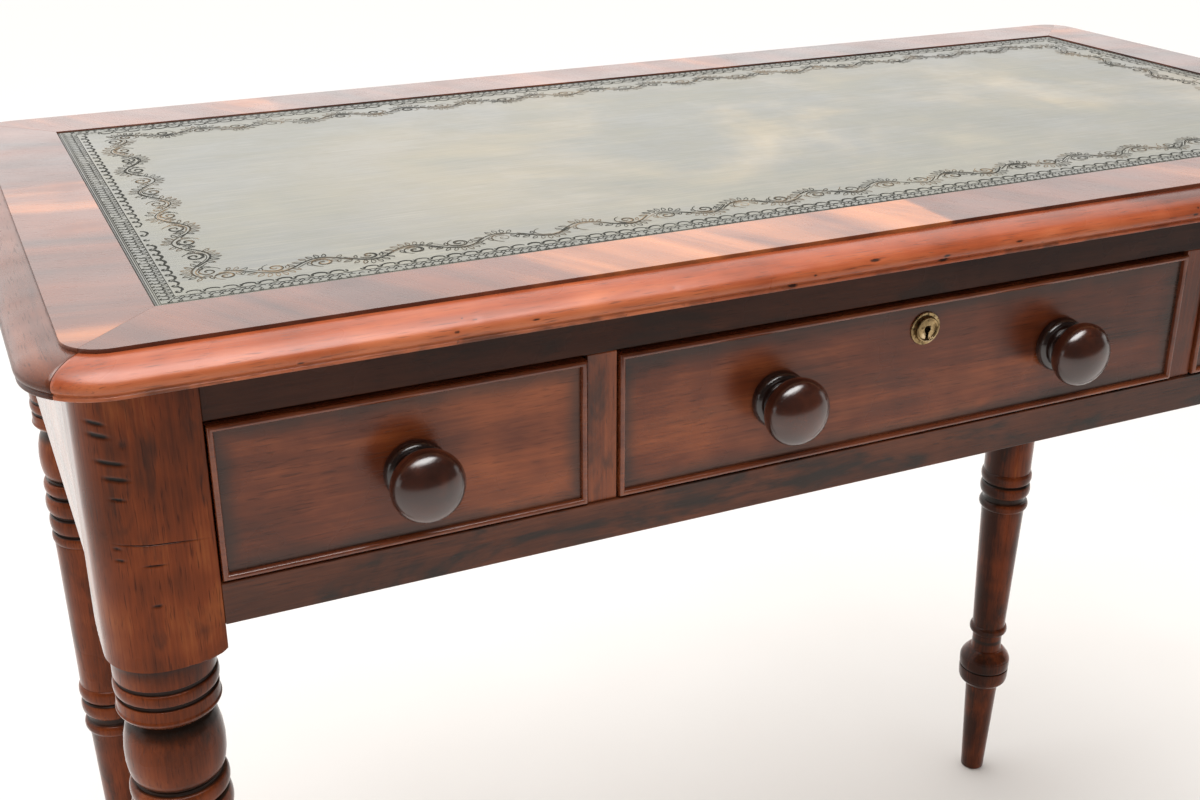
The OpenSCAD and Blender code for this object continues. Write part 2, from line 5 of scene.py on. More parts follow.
import bmesh
import bpy
import numpy as np
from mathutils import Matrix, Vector


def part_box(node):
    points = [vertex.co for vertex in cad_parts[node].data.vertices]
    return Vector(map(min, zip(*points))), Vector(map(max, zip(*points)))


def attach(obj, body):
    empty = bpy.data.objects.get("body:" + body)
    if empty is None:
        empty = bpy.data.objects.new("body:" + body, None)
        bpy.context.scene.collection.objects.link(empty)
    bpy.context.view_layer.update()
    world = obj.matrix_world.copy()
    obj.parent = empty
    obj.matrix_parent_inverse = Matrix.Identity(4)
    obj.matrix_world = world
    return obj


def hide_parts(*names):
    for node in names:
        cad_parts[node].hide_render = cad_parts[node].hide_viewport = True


# The looks of a leather-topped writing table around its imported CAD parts. Metres, +Z up, front to -Y.
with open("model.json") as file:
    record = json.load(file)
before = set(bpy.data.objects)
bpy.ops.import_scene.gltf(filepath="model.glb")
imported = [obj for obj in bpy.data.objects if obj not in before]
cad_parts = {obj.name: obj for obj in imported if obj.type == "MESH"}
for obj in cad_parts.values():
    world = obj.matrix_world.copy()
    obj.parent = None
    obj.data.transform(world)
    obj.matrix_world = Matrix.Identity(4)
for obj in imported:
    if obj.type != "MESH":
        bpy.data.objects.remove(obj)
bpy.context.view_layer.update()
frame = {"nodes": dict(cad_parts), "record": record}
NODES = frame["nodes"]
BODY_OF = {n: b for b, names in frame["record"]["behaviour"]["bodies"].items() for n in names}
MM = 0.001
DRAWERS = ("left", "middle", "right")


# ---- Sizes read from the frame ----

def outline(node, point, normal):
    """The closed line where a plane cuts a CAD node, as an array of points in order."""
    bm = bmesh.new()
    bm.from_mesh(NODES[node].data)
    bmesh.ops.remove_doubles(bm, verts=bm.verts, dist=0.002 * MM)
    everything = bm.verts[:] + bm.edges[:] + bm.faces[:]
    made = bmesh.ops.bisect_plane(bm, geom=everything, dist=0.0005 * MM, plane_co=point, plane_no=normal)
    cut = [e for e in made["geom_cut"] if isinstance(e, bmesh.types.BMEdge)]
    edges = set(cut)
    loops = []
    for edge in cut:
        if edge not in edges:
            continue
        edges.remove(edge)
        loop = [edge.verts[0], edge.verts[1]]
        while True:
            onward = next((e for e in loop[-1].link_edges if e in edges), None)
            if onward is None:
                break
            edges.remove(onward)
            loop.append(onward.other_vert(loop[-1]))
        loops.append(np.array([v.co for v in loop]))
    bm.free()
    return max(loops, key=lambda p: np.linalg.norm(np.diff(p, axis=0), axis=1).sum())


def walk(loop, start, leave):
    """The part of a closed loop from index start, in the direction that leave(next point) prefers."""
    closed = loop[:-1] if np.allclose(loop[0], loop[-1]) else loop
    forward = np.roll(closed, -start, axis=0)
    backward = np.roll(closed[::-1], start + 1, axis=0)
    return forward if leave(forward[1]) > leave(backward[1]) else backward


def soften(line, step, radius, longest, tolerance):
    """An open line with its corners worn round, in as few points as its shape needs."""
    gaps = np.linalg.norm(np.diff(line, axis=0), axis=1)
    along = np.concatenate([[0], np.cumsum(gaps)])
    count = max(int(along[-1] / step), 4)
    even = np.linspace(0, along[-1], count)
    fine = np.stack([np.interp(even, along, line[:, k]) for k in range(line.shape[1])], axis=1)
    reach = int(3 * radius / step) + 1
    kernel = np.exp(-0.5 * (np.arange(-reach, reach + 1) * step / radius) ** 2)
    padded = np.concatenate([np.repeat(fine[:1], reach, 0), fine, np.repeat(fine[-1:], reach, 0)])
    worn = np.stack([np.convolve(padded[:, k], kernel / kernel.sum(), "valid") for k in range(2)], axis=1)
    worn[0], worn[-1] = fine[0], fine[-1]
    return thin(worn, longest, tolerance)


def thin(line, longest, tolerance):
    """The points of a line that keep it within tolerance, with no gap over longest."""
    keep, at = [0], 0
    while at < len(line) - 1:
        far = at + 1
        while far + 1 < len(line):
            a, b = line[at], line[far + 1]
            span = b - a
            length = max(np.linalg.norm(span), 1e-9)
            inner = line[at + 1:far + 1] - a
            off = np.abs(inner[:, 0] * span[1] - inner[:, 1] * span[0]) / length
            if off.max() > tolerance or length > longest:
                break
            far += 1
        keep.append(far)
        at = far
    return line[keep]


# ---- Mesh building ----

def piece(name, points, faces, node, material, sharp=None, values=None):
    """A new piece that rides with a CAD node's body.

    A closed piece gives the angle in degrees over which its edges stay sharp. It faces outwards and
    stands for its node.
    """
    made = sheet(name, points, faces, material)
    mesh = made.data
    mesh.polygons.foreach_set("use_smooth", [True] * len(mesh.polygons))
    for key, column in (values or {}).items():
        mesh.attributes.new(key, "FLOAT", "POINT").data.foreach_set("value", np.asarray(column, np.float32))
    if sharp:
        recalculate(mesh)
        mesh.set_sharp_from_angle(angle=math.radians(sharp))
        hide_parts(node)
    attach(made, BODY_OF[node])


def sheet(name, points, faces, material):
    """A new mesh in the scene."""
    mesh = bpy.data.meshes.new(name)
    mesh.from_pydata([tuple(p) for p in points], [], faces)
    mesh.update()
    mesh.materials.append(material)
    return add_to_scene(name, mesh)


def add_to_scene(name, data):
    """A new object in the scene that shows the given mesh, lamp or camera."""
    made = bpy.data.objects.new(name, data)
    bpy.context.scene.collection.objects.link(made)
    return made


def recalculate(mesh):
    """Turns every face of a closed mesh outwards."""
    bm = bmesh.new()
    bm.from_mesh(mesh)
    bmesh.ops.recalc_face_normals(bm, faces=bm.faces)
    bm.to_mesh(mesh)
    bm.free()


def ring_faces(rings, around, closed=True, capped=False, looped=False):
    """Faces that join rings of points, each with the same number of points around.

    Closed rings join their last point to the first, capped ends are filled, and looped rings join the last
    ring to the first.
    """
    faces = []
    for r in range(rings if looped else rings - 1):
        near, far = r * around, (r + 1) % rings * around
        for i in range(around if closed else around - 1):
            n = (i + 1) % around
            faces.append((near + i, near + n, far + n, far + i))
    if capped:
        faces += [tuple(range(around))[::-1], tuple(range((rings - 1) * around, rings * around))]
    return faces


# ---- Materials ----

class Graph:
    """A new material of a given name, or the nodes of a world, and short calls that return new sockets."""

    def __init__(self, holder, kind="BSDF_PRINCIPLED", **shader):
        self.material = bpy.data.materials.new(holder) if isinstance(holder, str) else holder
        self.material.use_nodes = True
        tree = self.material.node_tree
        self.nodes, self.links = tree.nodes, tree.links
        self.shader = next(n for n in self.nodes if n.type == kind)
        for socket, value in shader.items():
            self.set(socket.replace("_", " "), value)

    def put(self, node, socket, value):
        if isinstance(value, bpy.types.NodeSocket):
            self.links.new(value, node.inputs[socket])
        elif value is not None:
            node.inputs[socket].default_value = value

    def set(self, socket, value):
        self.put(self.shader, socket, value)

    def add(self, kind, inputs, output=0, **settings):
        node = self.nodes.new("ShaderNode" + kind)
        for key, value in settings.items():
            setattr(node, key, value)
        for socket, value in inputs.items():
            self.put(node, socket, value)
        return node.outputs[output]

    def math(self, operation, a, b=None):
        return self.add("Math", {0: a, 1: b}, operation=operation)

    plus = partialmethod(math, "ADD")
    minus = partialmethod(math, "SUBTRACT")
    times = partialmethod(math, "MULTIPLY")
    least = partialmethod(math, "MINIMUM")
    most = partialmethod(math, "MAXIMUM")
    magnitude = partialmethod(math, "ABSOLUTE")

    def span(self, value, a, b, c=0.0, d=1.0, smooth=True):
        """A value that goes from c to d while the given one goes from a to b."""
        kind = "SMOOTHSTEP" if smooth else "LINEAR"
        inputs = {"Value": value, "From Min": a, "From Max": b, "To Min": c, "To Max": d}
        return self.add("MapRange", inputs, interpolation_type=kind)

    def mix(self, share, a, b, blend="MIX"):
        return self.add("Mix", {0: share, 6: a, 7: b}, output=2, data_type="RGBA", blend_type=blend)

    def ramp(self, value, stops):
        """A colour ramp from (place, colour) pairs."""
        node = self.nodes.new("ShaderNodeValToRGB")
        self.put(node, 0, value)
        elements = node.color_ramp.elements
        while len(elements) < len(stops):
            elements.new(0.5)
        for element, (at, colour) in zip(elements, stops):
            element.position = at
            element.color = (*colour, 1) if len(colour) == 3 else colour
        return node.outputs[0]

    def place(self, own=False):
        """The point in the desk's frame, moved by an amount of each piece's own if asked."""
        point = self.add("TexCoord", {}, output=3)
        if not own:
            return point
        random = self.add("ObjectInfo", {}, output=5)
        shift = self.add("VectorMath", {0: (3.1, 5.7, 4.3), 3: random}, operation="SCALE")
        return self.add("VectorMath", {0: point, 1: shift}, operation="ADD")

    def stretch(self, point, scale, turn=(0, 0, 0)):
        return self.add("Mapping", {"Vector": point, "Scale": scale, "Rotation": turn})

    def noise(self, point, scale, detail=2.0, rough=0.5, distort=0.0):
        character = {"Detail": detail, "Roughness": rough, "Distortion": distort}
        return self.add("TexNoise", {"Vector": point, "Scale": scale, **character})

    def grain(self, point, axis, size, *character):
        """Noise drawn out along an axis. Its size is a length that way and one across, in metres."""
        length, across = size
        scale = tuple(1 / (length if k == axis else across) for k in "XYZ")
        return self.noise(self.stretch(point, scale), 1, *character)

    def value(self, name):
        return self.add("Attribute", {}, output=2, attribute_name=name)

    def bump(self, height, strength, distance, normal=None):
        inputs = {"Strength": strength, "Distance": distance, "Height": height, "Normal": normal}
        return self.add("Bump", inputs)

    def axes(self):
        """X, Y and Z in the desk's frame."""
        node = self.nodes.new("ShaderNodeSeparateXYZ")
        self.put(node, 0, self.place())
        return node.outputs


POLISH = {"Coat_Weight": 0.06, "Coat_Roughness": 0.1, "Specular_IOR_Level": 0.4}
# What wood is drawn with: length along the grain and size across it, in metres
BROAD_LENGTH = 0.30
FINE_LINES = (0.045, 0.0014)
CLOUDS = (0.10, 0.035)
RIPPLES = (0.018, 0.09)
PORES = (0.011, 0.0007)
# The figure at which wood is darkest, of its main colour and lightest
FIGURE_STOPS = (0.33, 0.49, 0.66)


def wood(name, axis, colours, rough=(0.22, 0.38), streak=0.03, pores=0.5, turn=(0, 0, 0), darkening=None,
         darkening_colour=(0.012, 0.009, 0.007), own=True, wave=0.25, tint=None, spread=1.0, lines=0.2,
         cloud=0.0, **shader):
    """Polished wood with its grain along an axis. Darkening gives a mask of dirt, and of painted shade where
    a part has it; tint moves the shade, and paints light where a part has it.

    Lines and cloud are the shares that fine lines and soft clouds have in the figure, streak is the width
    of its broad streaks, and own gives each piece a stretch of grain of its own.
    """
    g = Graph(name, **{**POLISH, **shader})
    point = g.place(own)
    turned = g.stretch(point, (1, 1, 1), turn) if any(turn) else point
    broad = g.grain(turned, axis, (BROAD_LENGTH, streak), 3, 0.55, 0.7)
    fine = g.grain(turned, axis, FINE_LINES, 3, 0.65)
    mottle = g.noise(turned, 14, 3, 0.6)
    ripple = g.grain(turned, axis, RIPPLES, 1)
    pore = g.span(g.grain(turned, axis, PORES, 1), 0.60, 0.74)
    parts = [(broad, 0.78 - lines - cloud), (fine, lines)]
    if cloud:
        parts.append((g.grain(turned, axis, CLOUDS, 4, 0.62, 0.6), cloud))
    parts += [(mottle, 0.14), (ripple, 0.08)]
    figure = None
    for pattern, share in parts:
        part = g.times(pattern, share)
        figure = part if figure is None else g.plus(figure, part)
    if tint is not None:
        figure = g.plus(g.times(g.minus(figure, 0.5), spread), tint(g))
    colour = g.ramp(figure, list(zip(FIGURE_STOPS, colours)))
    colour = g.mix(g.times(pore, pores), colour, (*[c * 0.25 for c in colours[0]], 1))
    if darkening is not None:
        colour = g.mix(darkening(g), colour, (*darkening_colour, 1))
    g.set("Base Color", colour)
    g.set("Roughness", g.span(g.plus(mottle, g.times(pore, 0.3)), 0.3, 0.85, *rough))
    height = g.minus(g.times(fine, 0.25), g.times(pore, 0.5))
    normal = g.bump(g.noise(point, 22, 1), wave, 4 * MM)
    g.set("Normal", g.bump(height, 0.35, 0.12 * MM, normal))
    g.set("Coat Normal", normal)
    return g.material


# Colours of each wood in its dark, main and light parts
RED = ((0.026, 0.007, 0.003), (0.150, 0.031, 0.007), (0.330, 0.096, 0.024))
BROWN = ((0.036, 0.009, 0.004), (0.125, 0.028, 0.009), (0.300, 0.078, 0.023))
RAIL = ((0.026, 0.009, 0.005), (0.075, 0.022, 0.010), (0.140, 0.042, 0.018))
BEAD = ((0.030, 0.008, 0.004), (0.125, 0.029, 0.010), (0.260, 0.070, 0.022))
DARK = ((0.016, 0.005, 0.003), (0.044, 0.014, 0.007), (0.090, 0.028, 0.013))
ORANGE = ((0.080, 0.016, 0.006), (0.255, 0.054, 0.018), (0.430, 0.125, 0.048))
ROSE = ((0.045, 0.012, 0.006), (0.110, 0.031, 0.014), (0.200, 0.065, 0.030))
VENEER = ((0.040, 0.013, 0.009), (0.120, 0.034, 0.016), (0.350, 0.115, 0.036))
PLAIN = ((0.270, 0.150, 0.070), (0.430, 0.270, 0.140), (0.560, 0.390, 0.220))
KNOB = ((0.010, 0.003, 0.002), (0.032, 0.008, 0.004), (0.085, 0.020, 0.007))


# ---- Finishing the CAD nodes that stay ----

WELD = 0.005 * MM
ARRIS_ANGLE = 50


def finish_node(name, material, bevel=0.5 * MM):
    """A CAD node that stays as it is: its material and its arrises, taken off by a fine bevel."""
    node = NODES[name]
    for k in range(len(node.material_slots)):
        node.material_slots[k].link = "OBJECT"
        node.material_slots[k].material = material
    if bevel:
        weld = node.modifiers.new("weld", "WELD")
        weld.merge_threshold = WELD
        edge = node.modifiers.new("arris", "BEVEL")
        edge.width = bevel
        edge.segments = 2
        edge.limit_method = "ANGLE"
        edge.angle_limit = math.radians(ARRIS_ANGLE)
        edge.use_clamp_overlap = True


def near_edges(g, node, reach, depth):
    """A mask that is strong near the four edges of a drawer front and fades within it."""
    low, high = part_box(node)
    x, _, z = g.axes()
    nearest = g.least(g.least(g.minus(x, low.x), g.minus(high.x, x)),
                      g.least(g.minus(z, low.z), g.minus(high.z, z)))
    ragged = g.times(g.noise(g.place(), 40, 3, 0.6), reach)
    mask = g.span(g.minus(nearest, ragged), -0.2 * reach, 0.7 * reach, 1, 0)
    return g.times(mask, depth)


# ---- Top ----

# The leather: how far it stays inside its CAD node, the pitch of its mesh, the closer steps at its rim, how
# far and over what width the rim turns down, and its slow waves' height and how far in they fade
LEATHER_INSET = 0.35 * MM
LEATHER_PITCH = 7 * MM
LEATHER_RIM_STEPS = (0, 0.25 * MM, 0.7 * MM, 1.6 * MM, 3 * MM)
RIM_DROP, RIM_WIDTH = 1.1 * MM, 1.5 * MM
WAVE_HEIGHT, WAVE_FADE = 0.06 * MM, 30 * MM


def build_leather(material, line_material):
    """The leather with a turned-down rim and slow waves, and the tooling that lies on it."""
    low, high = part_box("leather")
    half_x, half_y, top = high.x - LEATHER_INSET, high.y - LEATHER_INSET, high.z
    xs = spaced(half_x, LEATHER_PITCH, LEATHER_RIM_STEPS)
    ys = spaced(half_y, LEATHER_PITCH, LEATHER_RIM_STEPS)
    gx, gy = np.meshgrid(xs, ys, indexing="xy")
    edge = np.minimum(half_x - np.abs(gx), half_y - np.abs(gy))
    drop = RIM_DROP * np.clip(1 - edge / RIM_WIDTH, 0, 1) ** 2
    swell = np.sin(gx * 41 + gy * 17) * np.sin(gy * 53 - gx * 9) - 1
    z = top - drop + WAVE_HEIGHT * swell * np.clip(edge / WAVE_FADE, 0, 1)
    points = np.stack([gx, gy, z], axis=-1).reshape(-1, 3)
    nx, ny = len(xs), len(ys)
    faces = ring_faces(ny, nx, closed=False)
    rim = list(range(nx)) + [j * nx + nx - 1 for j in range(1, ny)]
    rim += [(ny - 1) * nx + i for i in range(nx - 2, -1, -1)] + [j * nx for j in range(ny - 2, 0, -1)]
    base = len(points)
    under = points[rim].copy()
    under[:, 2] = low.z
    points = np.concatenate([points, under])
    for k in range(len(rim)):
        n = (k + 1) % len(rim)
        faces.append((rim[n], rim[k], base + k, base + n))
    faces.append(tuple(range(base, base + len(rim)))[::-1])
    piece("leather_top", points, faces, "leather", material, 60)
    build_ribbons(tooling(high.x, high.y), top, line_material)


def spaced(half, pitch, close):
    """Even steps across twice a half width, with given closer ones at both ends."""
    inner = half - close[-1]
    count = max(int(2 * inner / pitch), 2)
    return np.concatenate([[-half + c for c in close[:-1]], np.linspace(-inner, inner, count),
                           [half - c for c in close[:-1]][::-1]])


def arc_line(cx, cy, r0, r1, a0, a1, steps):
    """A stroke that turns about a point while its radius changes: an arc or a spiral, in mm."""
    t = np.linspace(0, 1, steps)
    a = np.radians(a0 + (a1 - a0) * t)
    r = r0 + (r1 - r0) * t
    return np.stack([cx + r * np.cos(a), cy + r * np.sin(a)], axis=1)


# Tooling of the leather in mm: distances from its edge, then the straight lines' half width and spacing of
# points, and the length that each pattern repeats over
FILLET_LINES, FILLET_WIDTH, FILLET_PITCH = (1.5, 2.6, 3.4, 10.9), 0.26, 12
STAMP_ROW, STAMP_STEP = 4.2, 4.6
CHAIN_ROW, CHAIN_STEP = 14.2, 8.4
SCROLL_ROW, SCROLL_STEP = 31.0, 46.0
# Leaves round one bend of the scroll: root, length and direction
SCROLL_LEAVES = ((2.0, 2.2, 5.0, 128), (4.6, 4.6, 5.2, 104), (7.4, 6.0, 5.2, 84), (10.2, 6.8, 5.4, 66),
                 (13.0, 6.8, 5.4, 48), (15.8, 5.8, 5.2, 30), (18.6, 4.0, 5.0, 12), (5.0, 1.2, 4.4, 250),
                 (17.0, 2.6, 4.8, 262), (20.6, 0.6, 4.4, 215))


def stamp():
    """One leaf of the dense outer row, standing on v = 0, as (line, half width, gilt)."""
    leaf = arc_line(2.2, 2.6, 2.5, 1.2, 215, 40, 8)
    stem = np.array([[-1.6, 0.2], [-0.2, 2.2], [-1.2, 4.4], [0.6, 6.0]])
    foot = arc_line(-0.6, 0.8, 1.5, 0.8, 180, 350, 5)
    tip = arc_line(1.2, 5.0, 1.5, 0.7, 150, -20, 5)
    return [(leaf, 0.4, 0.0), (stem, 0.36, 0.0), (foot, 0.42, 0.0), (tip, 0.36, 0.0)]


def chain():
    """One link of the dark inner line, about v = 0: a wave that ends in a hook."""
    wave = arc_line(0, -1.4, 4.0, 3.4, 170, 25, 10) * (1.0, 0.8)
    hook = arc_line(3.3, -0.6, 1.7, 0.6, 70, -210, 9)
    return [(wave, 0.75, 0.0), (hook, 0.6, 0.0)]


def leaf(u, v, length, direction):
    """A pointed leaf drawn as one closed stroke from its root, in mm."""
    t = np.concatenate([np.linspace(0, 1, 7), np.linspace(1, 0, 7)[1:]])
    across = 0.2 * length * np.sin(math.pi * t) * np.where(np.arange(len(t)) < 7, 1, -1)
    a = np.radians(direction + 25 * t)
    along = length * t
    return np.stack([u + along * np.cos(a) - across * np.sin(a),
                     v + along * np.sin(a) + across * np.cos(a)], axis=1)


# Spirals in one bend of the scroll: first and last radius, first and last angle, half width, share of gilt
SCROLL_SPIRALS = ((5.4, 0.9, 165, -330, 0.5, 0.15), (4.3, 0.6, 150, -310, 0.26, 0.8),
                  (6.2, 5.0, 250, 60, 0.3, 0.5))
SCROLL_SWING = 6.6


def scroll():
    """One wave of the wide border, about v = 0: a winding stem, with spirals in each bend and leaves."""
    half = SCROLL_STEP / 2
    u = np.linspace(-2, half + 2, 17)
    stem = np.stack([u, SCROLL_SWING * np.sin(math.pi * u / half)], axis=1)
    strokes = [(stem, 0.5, 0.1), (stem + (0.4, -1.3), 0.28, 0.7)]
    strokes += [(arc_line(half / 2, -0.8, r0, r1, a0, a1, 20), width, gilt)
                for r0, r1, a0, a1, width, gilt in SCROLL_SPIRALS]
    strokes += [(leaf(*numbers), 0.3, 0.4) for numbers in SCROLL_LEAVES]
    return strokes + [(line * (1, -1) + (half, 0), width, gilt) for line, width, gilt in strokes]


# How much the strokes of one tool differ: share that is worn away, size, tilt in radians, width
WORN_SHARE = 0.07
STROKE_SIZE = (0.9, 1.1)
STROKE_TILT = 0.07
STROKE_WIDTH = (0.65, 1.05)
# How far a stroke may cross the mitre, in mm
MITRE_GAP = 0.3


def tooling(half_x, half_y):
    """Every tooled stroke: its points on the leather in metres, its half width in mm and share of gilt."""
    strokes = []
    rng = np.random.default_rng(11)
    motifs = ((stamp(), STAMP_ROW, STAMP_STEP), (chain(), CHAIN_ROW, CHAIN_STEP),
              (scroll(), SCROLL_ROW, SCROLL_STEP))
    for turn in range(4):
        half_u, half_v = (half_x, half_y) if turn % 2 == 0 else (half_y, half_x)
        half_mm = half_u / MM
        for motif, row, step in motifs:
            small = step < SCROLL_STEP
            room = 2 * (half_mm - row - (2 if small else -4))
            count = int(room / step)
            true_step = room / count
            for k in range(count):
                start = -room / 2 + k * true_step + (true_step / 2 if small else 0)
                for line, width, gilt in motif:
                    worn, size, tilt = rng.random(), rng.uniform(*STROKE_SIZE), rng.normal(0, STROKE_TILT)
                    if worn < WORN_SHARE:
                        continue
                    middle = line.mean(axis=0)
                    spin = np.array([[math.cos(tilt), -math.sin(tilt)], [math.sin(tilt), math.cos(tilt)]])
                    line = middle + (line - middle) @ spin * size
                    placed = np.stack([start + line[:, 0] * true_step / step, row + line[:, 1]], axis=1)
                    wide = width * rng.uniform(*STROKE_WIDTH)
                    add_stroke(strokes, placed, wide, gilt, half_mm, half_v, turn)
        for v in FILLET_LINES:
            u = np.linspace(v - half_mm, half_mm - v, int(half_mm / FILLET_PITCH))
            fillet = np.stack([u, np.full(len(u), v)], axis=1)
            add_stroke(strokes, fillet, FILLET_WIDTH, 0.0, half_mm, half_v, turn)
    return strokes


def add_stroke(strokes, line, width, gilt, half_mm, half_v, turn):
    """Puts a stroke of one side in its place, cut off where it would cross the mitre."""
    line = line[np.abs(line[:, 0]) <= half_mm - line[:, 1] + MITRE_GAP]
    if len(line) > 1:
        placed = turned_side(line[:, 0] * MM, half_v - line[:, 1] * MM, turn)
        strokes.append((np.stack(placed, axis=1), width, gilt))


# Height over the leather of a tooled line's rims and of its middle
LINE_RIM, LINE_MIDDLE = 0.05 * MM, 0.02 * MM
# Half width in mm up to which a line keeps its width to its ends
THIN_LINE = 0.2


def build_ribbons(strokes, top, material):
    """Tooled lines as shallow pressed channels that lie on the leather."""
    points, faces, gilts = [], [], []
    for line, width, gilt in strokes:
        n = len(line)
        way = np.gradient(line, axis=0)
        way /= np.maximum(np.linalg.norm(way, axis=1, keepdims=True), 1e-9)
        side = np.stack([-way[:, 1], way[:, 0]], axis=1)
        taper = np.ones(n)
        if n > 3 and width > THIN_LINE:
            taper = 0.45 + 0.55 * np.sin(np.linspace(0.12, 1, n) * math.pi * 0.9)
        half = (width * MM * taper)[:, None]
        faces += [tuple(len(points) + corner for corner in face) for face in ring_faces(3, n, closed=False)]
        for offset, height in ((-1, LINE_RIM), (0, LINE_MIDDLE), (1, LINE_RIM)):
            points.extend(np.column_stack([line + side * half * offset, np.full(n, top + height)]))
        gilts.extend([gilt] * (3 * n))
    piece("leather_tooling", points, faces, "leather", material, values={"gilt": gilts})


def panel_corner():
    """The middle of the panel's corner arc, as distances from the desk's middle, and the arc's radius."""
    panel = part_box("top_board")[1]
    # the mitre leaves the long strip where the corner arc crosses the diagonal
    cut = panel.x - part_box("crossband_front")[1].x
    radius = cut / (1 - math.sqrt(0.5))
    return panel.x - radius, panel.y - radius, radius


# The moulding: the side of the desk that each length is on, counted in quarter turns from the front
EDGE_TURNS = {"edge_front": 0, "edge_right": 1, "edge_back": 2, "edge_left": 3}
# Spacing of its sections, sections round each half corner, its mitre in degrees, and how its ends are eased:
# over how many degrees and by how much
EDGE_STEP = 1.6 * MM
CORNER_STEPS = 14
MITRE = 45
EASE_ANGLE, EASE = 0.7, 0.35 * MM
# The middle of its round: out from the corner arc and up from its foot
ROUND_OUT, ROUND_UP = 9 * MM, 5 * MM
# Wear: one dent for this much length, and a slow rise and fall of its outer face
DENT_EVERY = 30 * MM
SLOW_WEAR = 0.12 * MM


def edge_section(corner_y, radius):
    """The moulding's section: distance out from the corner arc, and height."""
    section = outline("edge_front", Vector((0, 0, 0)), Vector((1, 0, 0)))
    flat = np.stack([-section[:, 1] - (corner_y + radius), section[:, 2]], axis=1)
    inner_top = int(np.argmin(flat[:, 0] * 50 + np.abs(flat[:, 1] - flat[:, 1].max())))
    ordered = walk(flat, inner_top, lambda p: p[0])
    apart = np.linalg.norm(np.diff(ordered, axis=0), axis=1) > 1e-6
    ordered = ordered[np.concatenate([[True], apart])]
    return soften(np.concatenate([ordered, ordered[:1]]), 0.25 * MM, 0.3 * MM, 1.6 * MM, 0.012 * MM)[:-1]


def build_edge(name, material, seed):
    """One length of the moulded edge: its CAD section swept round its corners, worn and lightly dented."""
    long = name in ("edge_front", "edge_back")
    cx, cy, radius = panel_corner()
    section = edge_section(cy, radius)
    half = cx if long else cy
    arc = [(half, a) for a in np.linspace(MITRE, 0, CORNER_STEPS)[:-1]]
    run = [(s, 0.0) for s in np.linspace(half, -half, int(2 * half / EDGE_STEP))]
    stations = arc + run + [(-half, -a) for a in np.linspace(0, MITRE, CORNER_STEPS)[1:]]
    stations[1:1] = [(half, MITRE - EASE_ANGLE)]
    stations[-1:-1] = [(-half, EASE_ANGLE - MITRE)]
    rng = np.random.default_rng(seed)
    dents = [(rng.uniform(-half, half), rng.uniform(-0.6, 1.2) * rng.random(), rng.uniform(0.6, 1.9) * MM,
              rng.uniform(0.1, 0.45) * MM, rng.uniform(1.0, 5.0)) for _ in range(int(2 * half / DENT_EVERY))]
    points, wear = [], []
    centre = np.array([ROUND_OUT, section[:, 1].min() + ROUND_UP])
    around = len(section)
    lean = np.arctan2(section[:, 1] - centre[1], section[:, 0] - centre[0])
    for s, angle in stations:
        out, z, mark = section[:, 0].copy(), section[:, 1].copy(), np.zeros(around)
        for at, tilt, size, depth, drawn in dents:
            if abs(s - at) < 3 * drawn * size:
                far = ((s - at) / drawn) ** 2 + ((lean - tilt) * 10 * MM) ** 2
                hit = np.exp(-far / (2 * (size / 2) ** 2))
                out -= hit * depth * np.cos(lean)
                z -= hit * depth * np.sin(lean) * (np.sin(lean) > 0)
                mark += hit
        slow = SLOW_WEAR * math.sin(s * 31 + seed) * np.clip(np.sin(lean), 0, 1)
        out = out + slow * (out > 3 * MM) * (out < 18 * MM)
        if abs(angle) >= MITRE:
            out = out + EASE * (centre[0] - out) / ROUND_OUT
            z = z + EASE * (centre[1] - z) / ROUND_OUT
        # u runs along the length, w outwards
        u = s + (radius + out) * math.sin(math.radians(angle))
        w = (cy if long else cx) + (radius + out) * math.cos(math.radians(angle))
        points.append(np.stack([*turned_side(u, w, EDGE_TURNS[name]), z], axis=1))
        wear.append(mark)
    points = np.concatenate(points)
    faces = ring_faces(len(stations), around, capped=True)
    piece(name + "_moulding", points, faces, name, material, 55, {"mark": np.concatenate(wear)})


def turned_side(u, out, turn):
    """A point given along the front side and outwards, after quarter turns of that side round the desk."""
    return ((u, -out), (out, u), (-u, out), (-out, -u))[turn]


# ---- Legs ----

def leg_profile():
    """Radius and height of a leg's turned part and of the shoulder under its post, from the CAD leg."""
    low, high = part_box("leg_front_left")
    centre = (low + high) / 2
    loop = outline("leg_front_left", Vector((centre.x, centre.y, 0)), Vector((1, -1, 0)).normalized())
    reach = ((loop[:, 0] - centre.x) + (loop[:, 1] - centre.y)) * math.sqrt(0.5)
    flat = np.stack([reach, loop[:, 2]], axis=1)
    lowest = flat[:, 1] < flat[:, 1].min() + 0.01 * MM
    start = int(np.argmax(np.where(lowest, flat[:, 0], -1)))
    ordered = walk(flat, start, lambda p: p[1])
    corner = (high.x - low.x) / 2 * math.sqrt(2)
    end = int(np.argmax(ordered[:, 0] > corner - 0.02 * MM))
    return ordered[:end + 1]


POST_ARRIS = 0.9 * MM


def post_reach(angle, half, outer):
    """How far the square post reaches at an angle: round at its outer corner, arrises just broken."""
    if math.cos(angle - outer) > math.sqrt(0.5) - 1e-9:
        return half
    reach = half / max(abs(math.cos(angle)), abs(math.sin(angle)))
    far = (half - POST_ARRIS) * math.sqrt(2)
    off = (angle % (math.pi / 2)) - math.pi / 4
    inside = POST_ARRIS ** 2 - (far * math.sin(off)) ** 2
    if inside > 0:
        reach = min(reach, far * math.cos(off) + math.sqrt(inside))
    return reach


